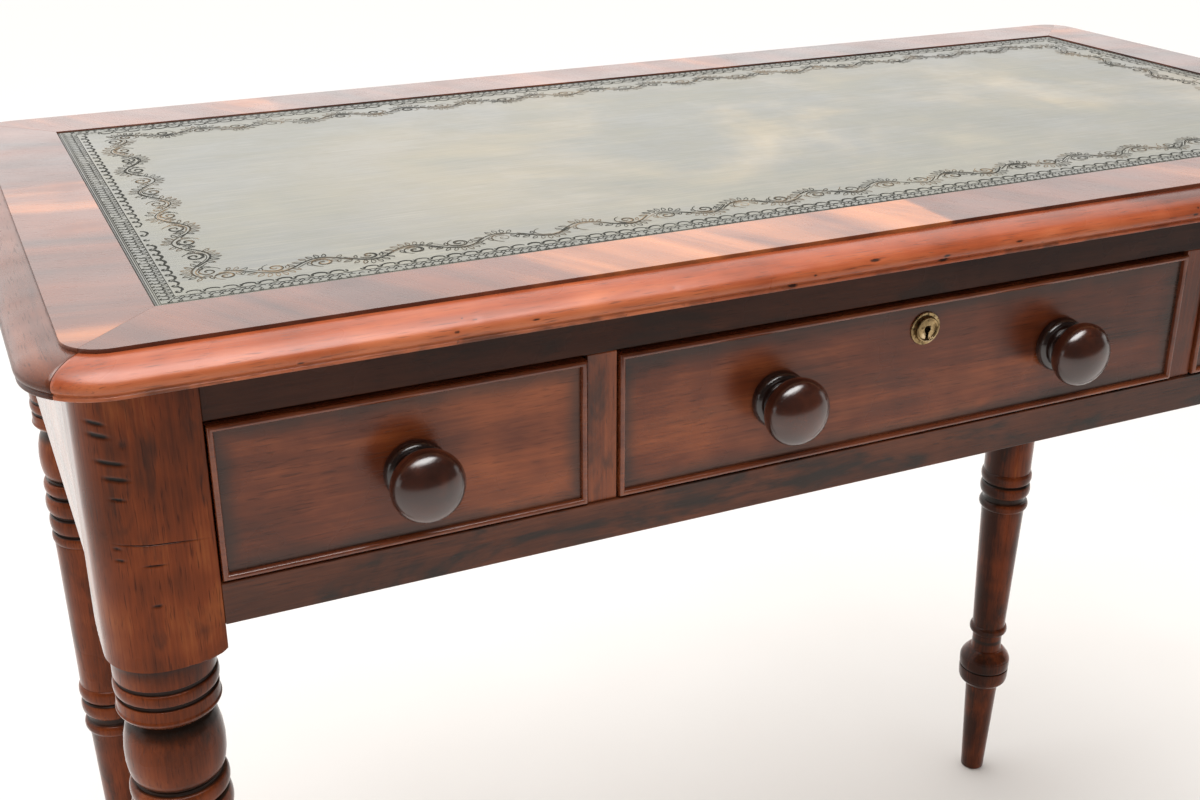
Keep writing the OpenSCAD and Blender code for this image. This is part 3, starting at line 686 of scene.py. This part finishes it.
# Old knocks and cracks on the front left post: degrees from its outer corner towards the front, height over
# the post's foot, length and width in mm
POST_KNOCKS = ((3, 128, 9, 1.9), (5, 122, 10, 2.3), (13, 109, 13, 2.2), (17, 101, 11, 2.3), (16, 91, 6, 1.5),
               (8, 66, 3, 1.6), (10, 60, 3, 1.4), (46, 67, 30, 0.6), (42, 56.5, 8, 0.8), (40, 35.5, 3, 1.5),
               (28, 118, 2, 5.0))
KNOCK_DEPTH = 0.6 * MM
# How much a knock falls per mm round the post, and the mm over its middle where the post needs closer rings
KNOCK_SLANT = 0.09
KNOCK_RINGS = np.arange(-2.8, 2.9, 0.35)
# Points round a leg, and rings up its post
LEG_SIDES, POST_RINGS = 96, 64
# Degrees from each corner of the post at which its arris needs points
ARRIS_TURNS = (-1.4, -0.9, -0.45, 0.45, 0.9, 1.4)
# Dark hollows of a turning, narrow ones of dirt and painted shade and wide ones of painted shade: their width
# in steps of slow_radius, and their depth where the dark is thickest
HOLLOW_SPAN, HOLLOW_DEPTH = 9, 1.0 * MM
SHADE_SPAN, SHADE_DEPTH = 24, 3.5 * MM
# How far down from the post the painted shade under it fades
SHADE_UNDER_POST = 10 * MM


def leg_angles():
    """Angles of a leg's points: even steps, and closer ones at the post's corners."""
    angles = {round(2 * math.pi * k / LEG_SIDES, 6) for k in range(LEG_SIDES)}
    for corner in range(4):
        turn = math.pi / 4 + corner * math.pi / 2
        angles |= {round(turn + math.radians(d), 6) for d in ARRIS_TURNS}
    return np.array(sorted(angles))


def knocks_at(angles, outer, half, height_mm):
    """How deep the post is knocked in at a height over its foot, from 0 to 1 at each angle."""
    knock = np.zeros(len(angles))
    for tilt, height, length, width in POST_KNOCKS:
        off = (angles - outer % (2 * math.pi) - math.radians(tilt) + math.pi) % (2 * math.pi) - math.pi
        arc = off * half / MM
        rise = height_mm - height + KNOCK_SLANT * arc
        knock += 1.3 * np.exp(-(arc / (length / 2)) ** 4 - (rise / (width / 2)) ** 2)
    return np.clip(knock, 0, 1)


def build_leg(name, profile, material):
    """A leg in one piece: the turning and its post, lofted from foot to top."""
    low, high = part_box(name)
    centre = (low + high) / 2
    half = (high.x - low.x) / 2
    outer = math.atan2(math.copysign(1, centre.y), math.copysign(1, centre.x))
    angles = leg_angles()
    post = np.array([post_reach(a, half, outer) for a in angles])
    line = soften(profile, 0.2 * MM, 0.28 * MM, 7 * MM, 0.02 * MM)
    shoulder_z = profile[:, 1].max()
    foot_z = post_foot(profile)
    # Painted shade: the wide hollows of the turning and the neck just under the post are darkened
    hollow, painted_shade = (np.clip((np.interp(line[:, 1], *slow_radius(line, span)) - line[:, 0]) / depth, 0, 1)
                    for span, depth in ((HOLLOW_SPAN, HOLLOW_DEPTH), (SHADE_SPAN, SHADE_DEPTH)))
    shade_under_post = np.clip(1 - (foot_z - line[:, 1]) / SHADE_UNDER_POST, 0, 1) * (line[:, 1] < foot_z + 0.1 * MM)
    painted_shade = np.maximum(painted_shade, 0.9 * shade_under_post)
    upper = np.linspace(shoulder_z, high.z, POST_RINGS)[1:]
    knocked = name == "leg_front_left"
    if knocked:
        near = [foot_z + (height + step) * MM for _, height, _, _ in POST_KNOCKS for step in KNOCK_RINGS]
        upper = np.unique(np.round(np.concatenate([upper, near]), 5))
    rings = [(r, z, h, d) for (r, z), h, d in zip(line, hollow, painted_shade)] + [(1.0, z, 0.0, 0.0) for z in upper]
    around = len(angles)
    points, knocks = [], []
    for r, z, _, _ in rings:
        reach = np.minimum(post, r) if z > foot_z - 1e-6 else np.full(around, r)
        knock = np.zeros(around)
        if knocked and z > shoulder_z:
            knock = knocks_at(angles, outer, half, (z - foot_z) / MM)
        reach = reach - KNOCK_DEPTH * knock
        points.append(np.stack([centre.x + reach * np.cos(angles), centre.y + reach * np.sin(angles),
                                np.full(around, z)], axis=1))
        knocks.append(knock)
    faces = ring_faces(len(rings), around, capped=True)
    hollow_darkness, painted_shades = (np.repeat([ring[k] for ring in rings], around) for k in (2, 3))
    piece(name + "_turned", np.concatenate(points), faces, name, material, 38,
          {"hollow_dirt_and_shade": hollow_darkness, "knock": np.concatenate(knocks), "painted_shade": painted_shades})


SLOW_STEPS = 1200


def slow_radius(line, span):
    """Heights and a slow radius, against which hollows of a turning show: span is their width in steps."""
    heights = np.linspace(line[:, 1].min(), line[:, 1].max(), SLOW_STEPS)
    radius = np.interp(heights, line[:, 1], line[:, 0])
    padded = np.pad(radius, span, mode="edge")
    nearby = np.array([[padded[k:k + span].max(), padded[k + span + 1:k + 2 * span + 1].max()]
                       for k in range(len(radius))])
    return heights, nearby.min(axis=1)


def post_foot(profile):
    """Height of the foot of the post: the highest level step of the profile."""
    outward = np.diff(profile[:, 0]) > 0.1 * MM
    level = np.abs(np.diff(profile[:, 1])) < 0.01 * MM
    return float(profile[:-1, 1][outward & level].max())


# ---- Drawer furniture ----

BEAD_STEP = 9 * MM
# How far its front edge is worn back at most, and how deep that edge is
BEAD_WEAR, BEAD_EDGE = 0.10 * MM, 1.5 * MM


def build_bead(which, material):
    """The bead round a drawer front: its CAD section swept round the four mitres."""
    name = "bead_" + which
    low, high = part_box(name)
    centre = (low + high) / 2
    half_w, half_h = (high.x - low.x) / 2, (high.z - low.z) / 2
    loop = outline(name, Vector((0, 0, centre.z)), Vector((0, 0, 1)))
    section = np.stack([np.abs(loop[:, 0] - centre.x) - half_w, loop[:, 1]], axis=1)
    closed = walk(section, int(np.argmax(section[:, 1])), lambda p: p[0])
    line = soften(np.concatenate([closed, closed[:1]]), 0.1 * MM, 0.12 * MM, 0.8 * MM, 0.01 * MM)[:-1]
    corners = [(1, -1), (1, 1), (-1, 1), (-1, -1)]
    stations = []
    for k, (sx, sz) in enumerate(corners):
        nx, nz = corners[(k + 1) % 4]
        length = 2 * (half_h if sx == nx else half_w)
        steps = max(int(length / BEAD_STEP), 2)
        stations += [(sx + (nx - sx) * t, sz + (nz - sz) * t) for t in np.arange(steps) / steps]
    points = []
    for k, (sx, sz) in enumerate(stations):
        fall = BEAD_WEAR * math.sin(k * 1.7 + len(which))
        y = line[:, 1] + np.where(line[:, 1] < low.y + BEAD_EDGE, max(fall, 0), 0)
        points.append(np.stack([centre.x + (half_w + line[:, 0]) * sx, y,
                                centre.z + (half_h + line[:, 0]) * sz], axis=1))
    faces = ring_faces(len(stations), len(line), looped=True)
    piece(name + "_strip", np.concatenate(points), faces, name, material, 40)


KNOB_SIDES = 96
# Dirt and painted shade in a knob's neck, under its cap: where it starts behind the face, what it thickens
# over, and how far before the back it ends
NECK_FROM, NECK_THICKENS, NECK_TO = 12 * MM, 8 * MM, 20.5 * MM


def build_knob(name, material):
    """A turned knob: its CAD outline, worn a little, turned about its own axis."""
    low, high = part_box(name)
    centre = (low + high) / 2
    loop = outline(name, Vector((centre.x, 0, 0)), Vector((1, 0, 0)))
    flat = np.stack([loop[:, 2] - centre.z, loop[:, 1]], axis=1)
    start = int(np.argmin(flat[:, 1]))
    ordered = walk(flat, start, lambda p: p[0])
    end = int(np.argmax(ordered[:, 1] > high.y - 0.02 * MM))
    line = soften(ordered[:end + 1], 0.12 * MM, 0.2 * MM, 1.2 * MM, 0.008 * MM)
    line = line[line[:, 0] > 0.2 * MM]
    hollow = np.clip((line[:, 1] - low.y - NECK_FROM) / NECK_THICKENS, 0, 1)
    hollow *= line[:, 1] < high.y - NECK_TO
    angles = np.linspace(0, 2 * math.pi, KNOB_SIDES + 1)[:-1]
    points = [[centre.x, low.y, centre.z]]
    values = [0.0]
    for (r, y), h in zip(line, hollow):
        points.extend(np.stack([centre.x + r * np.cos(angles), np.full(KNOB_SIDES, y),
                                centre.z + r * np.sin(angles)], axis=1))
        values.extend([h] * KNOB_SIDES)
    points.append([centre.x, high.y, centre.z])
    values.append(0.0)
    faces = [tuple(corner + 1 for corner in face) for face in ring_faces(len(line), KNOB_SIDES)]
    last = len(points) - 1
    before = last - KNOB_SIDES
    faces += [(0, 1 + (i + 1) % KNOB_SIDES, 1 + i) for i in range(KNOB_SIDES)]
    faces += [(last, before + i, before + (i + 1) % KNOB_SIDES) for i in range(KNOB_SIDES)]
    piece(name + "_turned", points, faces, name, material, 40, {"hollow_dirt_and_shade": values})


# ---- Materials of each part ----

def leather_material():
    g = Graph("worn_leather", Coat_Weight=0.4, Coat_Roughness=0.3)
    point = g.place()
    x, y, _ = g.axes()
    low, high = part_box("leather")
    cloud = g.noise(point, 5.5, 5, 0.62, 0.4)
    patch = g.noise(point, 13, 4, 0.65)
    streaks = g.grain(point, "X", (0.16, 0.004), 3, 0.6, 0.4)
    rubbed = g.span(g.magnitude(y), 0.02, high.y, 1, 0)
    worn = g.times(g.span(x, low.x + 90 * MM, low.x + 330 * MM), g.times(rubbed, 0.7))
    tan = g.times(g.span(cloud, 0.40, 0.68), g.plus(worn, 0.12))
    green = g.ramp(patch, [(0.3, (0.040, 0.043, 0.031)), (0.5, (0.072, 0.072, 0.052)),
                           (0.72, (0.110, 0.108, 0.078))])
    colour = g.mix(tan, green, (0.240, 0.180, 0.095, 1))
    colour = g.mix(g.span(streaks, 0.45, 0.75, 0, 0.26), colour, (0.18, 0.165, 0.115, 1))
    threads = g.grain(point, "X", (0.045, 0.0013), 2, 0.6)
    colour = g.mix(g.span(threads, 0.50, 0.72, 0, 0.18), colour, (0.26, 0.23, 0.16, 1))
    colour = g.mix(g.span(threads, 0.30, 0.48, 0.20, 0), colour, (0.020, 0.022, 0.018, 1))
    side = g.least(g.minus(high.x, g.magnitude(x)), g.minus(high.y, g.magnitude(y)))
    # Painted shade: the rim of the leather darkens to near black where it turns down against the banding
    rim = g.span(g.plus(side, g.times(patch, 2 * MM)), 1.0 * MM, 4.2 * MM, 1, 0)
    band = g.times(g.span(side, 3.5 * MM, 4.5 * MM), g.span(side, 10 * MM, 11.5 * MM, 1, 0))
    colour = g.mix(g.times(band, 0.35), colour, (0.030, 0.034, 0.028, 1))
    colour = g.mix(g.times(rim, 0.85), colour, (0.012, 0.013, 0.011, 1))
    g.set("Base Color", colour)
    g.set("Roughness", g.span(g.plus(patch, g.times(streaks, 0.2)), 0.4, 0.8, 0.36, 0.56))
    grain = g.add("TexVoronoi", {"Vector": point, "Scale": 900, "Randomness": 1}, feature="F1")
    creases = g.grain(point, "X", (0.05, 0.012), 3, 0.6)
    normal = g.bump(g.noise(point, 9, 2), 0.35, 4 * MM)
    normal = g.bump(creases, 0.35, 0.5 * MM, normal)
    g.set("Normal", g.bump(grain, 0.35, 0.08 * MM, normal))
    g.set("Coat Normal", normal)
    return g.material


def tooling_material():
    g = Graph("tooled_lines", Roughness=0.75, Specular_IOR_Level=0.08)
    point = g.place()
    rubbed = g.span(g.noise(point, 55, 3, 0.6), 0.42, 0.62)
    faded = g.span(g.noise(point, 9, 3, 0.6), 0.35, 0.65, 0.35, 1)
    gold = g.times(g.times(rubbed, g.value("gilt")), faded)
    colour = g.mix(gold, (0.018, 0.018, 0.015, 1), (0.42, 0.29, 0.17, 1))
    g.set("Base Color", colour)
    g.set("Metallic", g.times(gold, 0.7))
    return g.material


# Leaves of veneer along each crossband: places along it, and the shade at each from dark to light
LEAVES = {
    "crossband_front": ((-0.44, 0.37), (-0.32, 0.39), (-0.22, 0.60), (0.0, 0.68), (0.003, 0.40),
                        (0.15, 0.44), (0.24, 0.60), (0.44, 0.64)),
    "crossband_back": ((-0.44, 0.44), (-0.256, 0.36), (-0.253, 0.27), (-0.1, 0.37), (0.1, 0.44),
                       (0.104, 0.30), (0.44, 0.42)),
    "crossband_left": ((-0.22, 0.56), (-0.17, 0.42), (-0.08, 0.36), (0.0, 0.47), (0.049, 0.50),
                       (0.052, 0.30), (0.13, 0.34), (0.22, 0.52)),
    "crossband_right": ((-0.22, 0.28), (-0.08, 0.40), (-0.02, 0.44), (-0.017, 0.27), (0.1, 0.32),
                        (0.22, 0.44)),
}
LEAF_SPAN = 0.5


def leaf_shade(name):
    """The shade of a crossband along its length, as a ramp between the starts of its leaves."""
    axis = 0 if name in ("crossband_front", "crossband_back") else 1

    def shade(g):
        at = g.span(g.axes()[axis], -LEAF_SPAN, LEAF_SPAN, 0, 1, smooth=False)
        stops = [((start + LEAF_SPAN) / (2 * LEAF_SPAN), (0.18 + 0.64 * value,) * 3)
                 for start, value in LEAVES[name]]
        return g.add("RGBToBW", {0: g.ramp(at, stops)})
    return shade


def veneer_material(name):
    """Cross-grain banding: leaves of veneer side by side, with soft broad figure across the band."""
    axis = "Y" if name in ("crossband_front", "crossband_back") else "X"
    turn = (0, 0, math.radians(-28 if axis == "Y" else 12))
    return wood(name + "_veneer", axis, VENEER, rough=(0.2, 0.32), streak=0.04, pores=0.08, turn=turn,
                wave=0.15, own=False, tint=leaf_shade(name), spread=0.75, lines=0.05, Coat_Weight=0.1,
                Specular_IOR_Level=0.42)


def metal(name, metallic, stains, colour, rough):
    """A stained metal. Its colour is a function of its graph and of the pattern of its stains."""
    g = Graph(name, Metallic=metallic)
    stain = g.noise(g.place(), stains, 4, 0.65)
    g.set("Base Color", colour(g, stain))
    g.set("Roughness", g.span(stain, 0.3, 0.7, *rough))
    g.set("Normal", g.bump(stain, 0.3, 0.1 * MM))
    return g.material


def brass(g, stain):
    """Bright and dull brass under dark stains."""
    areas = g.noise(g.place(), 130, 3, 0.6)
    colour = g.ramp(areas, [(0.3, (0.15, 0.1, 0.045)), (0.5, (0.42, 0.3, 0.15)), (0.75, (0.78, 0.62, 0.4))])
    return g.mix(g.span(stain, 0.52, 0.66), colour, (0.10, 0.065, 0.03, 1))


def iron(g, stain):
    """Grey iron with a little rust."""
    return g.ramp(stain, [(0.35, (0.10, 0.095, 0.09)), (0.55, (0.20, 0.19, 0.18)), (0.7, (0.13, 0.06, 0.03))])


def screw_iron():
    return metal("dull_iron", 0.9, 300, iron, (0.4, 0.65))


def hollow_dirt_and_shade(g):
    """Dirt and painted shade in the narrow hollows of a turning, painted shade in its wide hollows and under
    its post, and dirt in old knocks and in patches along the grain.
    """
    ragged = g.noise(g.place(), 120, 3, 0.6)
    hollow = g.span(g.plus(g.value("hollow_dirt_and_shade"), g.times(ragged, 0.5)), 0.45, 1.2)
    # Painted shade in the wide hollows and under the post
    painted_shade_mask = g.span(g.plus(g.value("painted_shade"), g.times(ragged, 0.4)), 0.35, 1.1, 0, 0.85)
    dark_mask = g.most(g.most(g.times(hollow, 0.9), painted_shade_mask), g.value("knock"))
    return g.most(dark_mask, patches(0.72, "Z", 0.52)(g))


def leg_shade(g):
    """Legs are darker below the post than on it, and on the side towards the drawers."""
    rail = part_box("bottom_rail")[0].z
    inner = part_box("leg_front_right")[0].x
    x, _, z = g.axes()
    shade = g.span(z, rail - 120 * MM, rail + 10 * MM, 0.42, 0.49)
    return g.minus(shade, g.span(g.magnitude(x), inner - 2 * MM, inner + 24 * MM, 0.09, 0))


def edge_shade(g):
    """The moulding is paler low on its round, painted light on its lower face, and darker to the right."""
    low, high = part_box("edge_front")
    x, _, z = g.axes()
    # Painted light: the lower part of the round is made paler
    painted_light_low = g.span(z, low.z + 3 * MM, high.z - 3 * MM, 0.60, 0.49)
    return g.minus(painted_light_low, g.span(x, 0.0, 0.32, 0, 0.21))


def side_shade(g):
    """The moulding at the left and the back is darker low down: painted shade on the lower side of its round.
    """
    low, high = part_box("edge_front")
    return g.span(g.axes()[2], low.z + 2 * MM, high.z - 2 * MM, 0.40, 0.50)


def rail_shade(g):
    """The long rails are darker to the right."""
    return g.span(g.axes()[0], -0.1, 0.35, 0.49, 0.35)


def marks(g):
    """Dark spots in dents, and the dirty lower part of the moulding."""
    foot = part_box("edge_front")[0].z
    point = g.place()
    height = g.plus(g.axes()[2], g.times(g.noise(point, 45, 3, 0.6), 6 * MM))
    band = g.span(height, foot + 2.5 * MM, foot + 7.5 * MM, 0.9, 0)
    specks = g.span(g.noise(point, 260, 2, 0.7), 0.63, 0.70, 0, 0.8)
    blotch = g.span(g.noise(point, 28, 3, 0.65), 0.48, 0.62, 0.12, 0.9)
    dark_mask = g.most(g.times(specks, band), g.times(band, blotch))
    return g.most(dark_mask, g.span(g.value("mark"), 0.45, 0.9))


def patches(amount, axis="X", start=0.48):
    """Dark worn-in dirt in soft patches that run with the grain."""
    def mask(g):
        cloud = g.grain(g.place(), axis, (0.07, 0.022), 4, 0.65, 0.6)
        return g.times(g.span(cloud, start, start + 0.2), amount)
    return mask


# Shade of each drawer front at its left and right end, from dark to light
FRONT_SHADES = {"left": (0.39, 0.56), "middle": (0.50, 0.41), "right": (0.46, 0.46)}


def front_shade(which):
    """The shade of a drawer front from its left end to its right."""
    low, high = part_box("front_" + which)

    def shade(g):
        return g.span(g.axes()[0], low.x, high.x, *FRONT_SHADES[which])
    return shade


def front_dirt_and_shade(which):
    """Dirt and painted shade round the edges of a drawer front, and soft smears of dirt along its grain."""
    def mask(g):
        # Dirt and painted shade: the front darkens within about 12 mm of its edges, along the bead
        edges = near_edges(g, "front_" + which, 12 * MM, 0.65)
        smear = g.grain(g.place(), "X", (0.16, 0.022), 3, 0.55, 0.8)
        return g.most(edges, g.times(g.span(smear, 0.48, 0.78), 0.35))
    return mask


# ---- Assembly ----

def plain_woods(name, rough):
    """Bare wood of the inside with its grain along X, and the same along Y."""
    return [wood(name + axis.lower(), axis, PLAIN, rough=rough, pores=0.6, wave=0.1) for axis in "XY"]


def build_top():
    build_leather(leather_material(), tooling_material())
    for name in LEAVES:
        finish_node(name, veneer_material(name), 0.3 * MM)
    for seed, (name, axis, colours, shade) in enumerate((
            ("edge_front", "X", ORANGE, edge_shade), ("edge_right", "Y", ORANGE, edge_shade),
            ("edge_back", "X", ROSE, side_shade), ("edge_left", "Y", ROSE, side_shade))):
        material = wood(name + "_wood", axis, colours, rough=(0.24, 0.36), lines=0.1, cloud=0.2, spread=1.2,
                        tint=shade, darkening=marks, darkening_colour=(0.030, 0.010, 0.006), own=False,
                        Coat_Weight=0.1, Coat_Roughness=0.25, Specular_IOR_Level=0.3)
        build_edge(name, material, seed + 3)


def build_frame():
    legs = wood("leg_wood", "Z", RED, rough=(0.26, 0.42), streak=0.05, lines=0.12, cloud=0.28, spread=1.25,
                darkening=hollow_dirt_and_shade, tint=leg_shade, Specular_IOR_Level=0.06, Coat_Weight=1.0, Coat_IOR=1.19,
                Coat_Roughness=0.22)
    profile = leg_profile()
    for name in ("leg_front_left", "leg_front_right", "leg_back_left", "leg_back_right"):
        build_leg(name, profile, legs)
    side = wood("side_wood", "Y", RED, Coat_Weight=0.6, darkening=patches(0.5, "Y"))
    long = wood("rail_wood", "X", RAIL, rough=(0.16, 0.28), Specular_IOR_Level=0.28, spread=1.2, cloud=0.2,
                tint=rail_shade, darkening=patches(0.9), darkening_colour=(0.014, 0.012, 0.010))
    dark = wood("head_wood", "X", DARK, tint=rail_shade, darkening=patches(0.6), Specular_IOR_Level=0.14)
    upright = wood("stile_wood", "Z", BROWN, darkening=patches(0.7, "Z", 0.5))
    plain_x, plain_y = plain_woods("plain_wood_", (0.55, 0.75))
    for names, material in (
            (("side_rail_left", "side_rail_right"), side), (("bottom_rail", "back_rail"), long),
            (("top_rail",), dark), (("stile_left", "stile_right"), upright),
            (("top_board", "glue_blocks", "drawer_stops"), plain_x),
            (tuple(n for n in NODES if n.startswith(("runner", "kicker"))), plain_y)):
        for name in names:
            finish_node(name, material)
    finish_node("top_screws", screw_iron(), 0)


def build_drawers():
    bead = wood("bead_wood", "X", BEAD, rough=(0.2, 0.32), cloud=0.2, Coat_Weight=0.5, Coat_Roughness=0.12)
    knob = wood("knob_wood", "Y", KNOB, rough=(0.16, 0.26), pores=0.1, wave=0.1, darkening=hollow_dirt_and_shade,
                darkening_colour=(0.012, 0.005, 0.004), Coat_Weight=0.9, Coat_Roughness=0.2)
    plain_x, plain_y = plain_woods("drawer_wood_", (0.5, 0.7))
    for which in DRAWERS:
        front = wood("front_" + which + "_wood", "X", BROWN, rough=(0.24, 0.38), streak=0.04, pores=0.35,
                     lines=0.14, cloud=0.26, spread=1.3, tint=front_shade(which), darkening=front_dirt_and_shade(which),
                     darkening_colour=(0.018, 0.015, 0.012), Coat_Roughness=0.25)
        finish_node("front_" + which, front, 0.3 * MM)
        build_bead(which, bead)
        for part in ("side_a_", "side_b_", "back_", "bottom_"):
            finish_node(part + which, plain_y if part.startswith("side") else plain_x, 0.3 * MM)
    for name in ("knob_left", "knob_middle_left", "knob_middle_right", "knob_right"):
        build_knob(name, knob)
    lock_brass = metal("aged_brass", 1.0, 420, brass, (0.22, 0.46))
    for name in ("escutcheon", "lock_case", "lock_bolt"):
        finish_node(name, lock_brass, 0)
    finish_node("lock_screws", screw_iron(), 0)


# ---- Studio ----

# The room's brightness ahead of the camera and behind it, and how much a glow behind the desk adds
ROOM_AHEAD, ROOM_BEHIND, GLOW_BEHIND_DESK = 1.5, 0.8, 0.45


def build_world():
    """A white room: brightest behind the desk and to its left, dimmer behind the camera."""
    world = bpy.data.worlds.new("studio")
    bpy.context.scene.world = world
    g = Graph(world, "BACKGROUND", Color=(1.0, 0.985, 0.97, 1))
    where = g.add("TexCoord", {})

    def facing(direction, *limits):
        vectors = {0: where, 1: Vector(direction).normalized()}
        return g.span(g.add("VectorMath", vectors, output=1, operation="DOT_PRODUCT"), *limits)

    behind = facing((-0.17, 0.95, 0.26), 0.45, 1.0, 0.0, GLOW_BEHIND_DESK)
    room = facing((0.1, -1, 0.0), -0.4, 0.6, ROOM_AHEAD, ROOM_BEHIND)
    g.set("Strength", g.plus(behind, room))


FLOOR_REACH = 30
# Dark sheets over and before the desk that only reflections see, painted dark reflections: how far they reach
# to each side, their height, and how far they come back
REFLECTED_DARK_REACH, REFLECTED_DARK_HEIGHT, REFLECTED_DARK_BACK = 14, 4, 0.4


def build_floor():
    """A plain pale floor, wide enough to fill the view, and dark sheets that only reflections see: painted
    dark reflections of a dim room.
    """
    flat(rectangle(FLOOR_REACH, -FLOOR_REACH, FLOOR_REACH), "floor", 0.0, floor_material())
    dark_reflection = Graph("painted_dark_reflection", Base_Color=(0.05, 0.045, 0.04, 1), Roughness=0.9, Specular_IOR_Level=0.1)
    wall = flat(rectangle(REFLECTED_DARK_REACH, 0, REFLECTED_DARK_HEIGHT), "dark_wall", 0.0, dark_reflection.material)
    wall.rotation_euler.x = math.radians(90)
    wall.location.y = -REFLECTED_DARK_HEIGHT
    over = rectangle(REFLECTED_DARK_REACH, -REFLECTED_DARK_HEIGHT, REFLECTED_DARK_BACK)
    ceiling = flat(over, "dark_ceiling", REFLECTED_DARK_HEIGHT, dark_reflection.material)
    for card in (wall, ceiling):
        only_reflected(card)


def rectangle(reach, start, end):
    """Corners of a sheet as wide as twice its reach in X, between two places in Y."""
    return [(-reach, start), (reach, start), (reach, end), (-reach, end)]


def only_reflected(card):
    """Hides a card from all but glossy rays."""
    for ray in ("camera", "diffuse", "transmission", "volume_scatter", "shadow"):
        setattr(card, "visible_" + ray, False)


def build_glow():
    """A round glow over the front of the desk that only reflections see: the broad light on turnings."""
    x, y, height = GLOW_PLACE
    angles = np.linspace(0, 2 * math.pi, 49)[:-1]
    rim = [(x + GLOW_RADIUS * math.cos(a), y + GLOW_RADIUS * math.sin(a)) for a in angles]
    glow = Graph("glow", Base_Color=(0, 0, 0, 1), Emission_Color=(1, 0.98, 0.96, 1),
                 Emission_Strength=GLOW_STRENGTH)
    only_reflected(flat(rim, "glow_card", height, glow.material))


def flat(corners, name, height, material):
    """A level sheet that belongs to the studio."""
    made = sheet(name, [(x, y, height) for x, y in corners], [tuple(range(len(corners)))], material)
    return made


def floor_material():
    """Pale paper with painted light: lighter behind the desk, where the room is brightest."""
    g = Graph("pale_floor", Roughness=0.9, Specular_IOR_Level=0.0)
    near = g.ramp(g.noise(g.place(), 1.3, 4, 0.6), [(0.3, (0.66, 0.635, 0.61)), (0.7, (0.70, 0.68, 0.66))])
    g.set("Base Color", g.mix(g.span(g.axes()[1], 0.2, 3.0), near, (0.80, 0.79, 0.78, 1)))
    return g.material


# The glow, the lamp and the camera
GLOW_PLACE, GLOW_RADIUS, GLOW_STRENGTH = (-0.35, -0.35, 2.5), 1.2, 5.0
LAMP_PLACE, LAMP_AIM, LAMP_SIZE, LAMP_RADIANCE = (-0.25, -0.3, 2.4), (0, 0, 0.7), 1.7, 6
CAMERA_PLACE, CAMERA_PITCH, CAMERA_HEADING = (-0.4887, -0.8389, 0.9943), 66.248, -24.903
SENSOR_WIDTH, LENS = 36, 45.52


def build_lamp():
    """A soft round lamp over the desk."""
    lamp = bpy.data.lights.new("softbox", "AREA")
    lamp.shape = "DISK"
    lamp.size = LAMP_SIZE
    lamp.energy = LAMP_RADIANCE * math.pi * math.pi * (LAMP_SIZE / 2) ** 2
    made = add_to_scene("softbox", lamp)
    made.location = LAMP_PLACE
    made.rotation_euler = (Vector(LAMP_AIM) - Vector(LAMP_PLACE)).to_track_quat("-Z", "Y").to_euler()


def build_camera():
    """The photograph's viewpoint, as fitted to the desk's straight edges."""
    camera = add_to_scene("camera", bpy.data.cameras.new("camera"))
    camera.location = CAMERA_PLACE
    camera.rotation_euler = (math.radians(CAMERA_PITCH), 0, math.radians(CAMERA_HEADING))
    camera.data.sensor_width = SENSOR_WIDTH
    camera.data.lens = LENS
    bpy.context.scene.camera = camera


build_top()
build_frame()
build_drawers()
build_world()
build_floor()
build_glow()
build_lamp()
build_camera()
bpy.context.scene.view_settings.view_transform = "Standard"
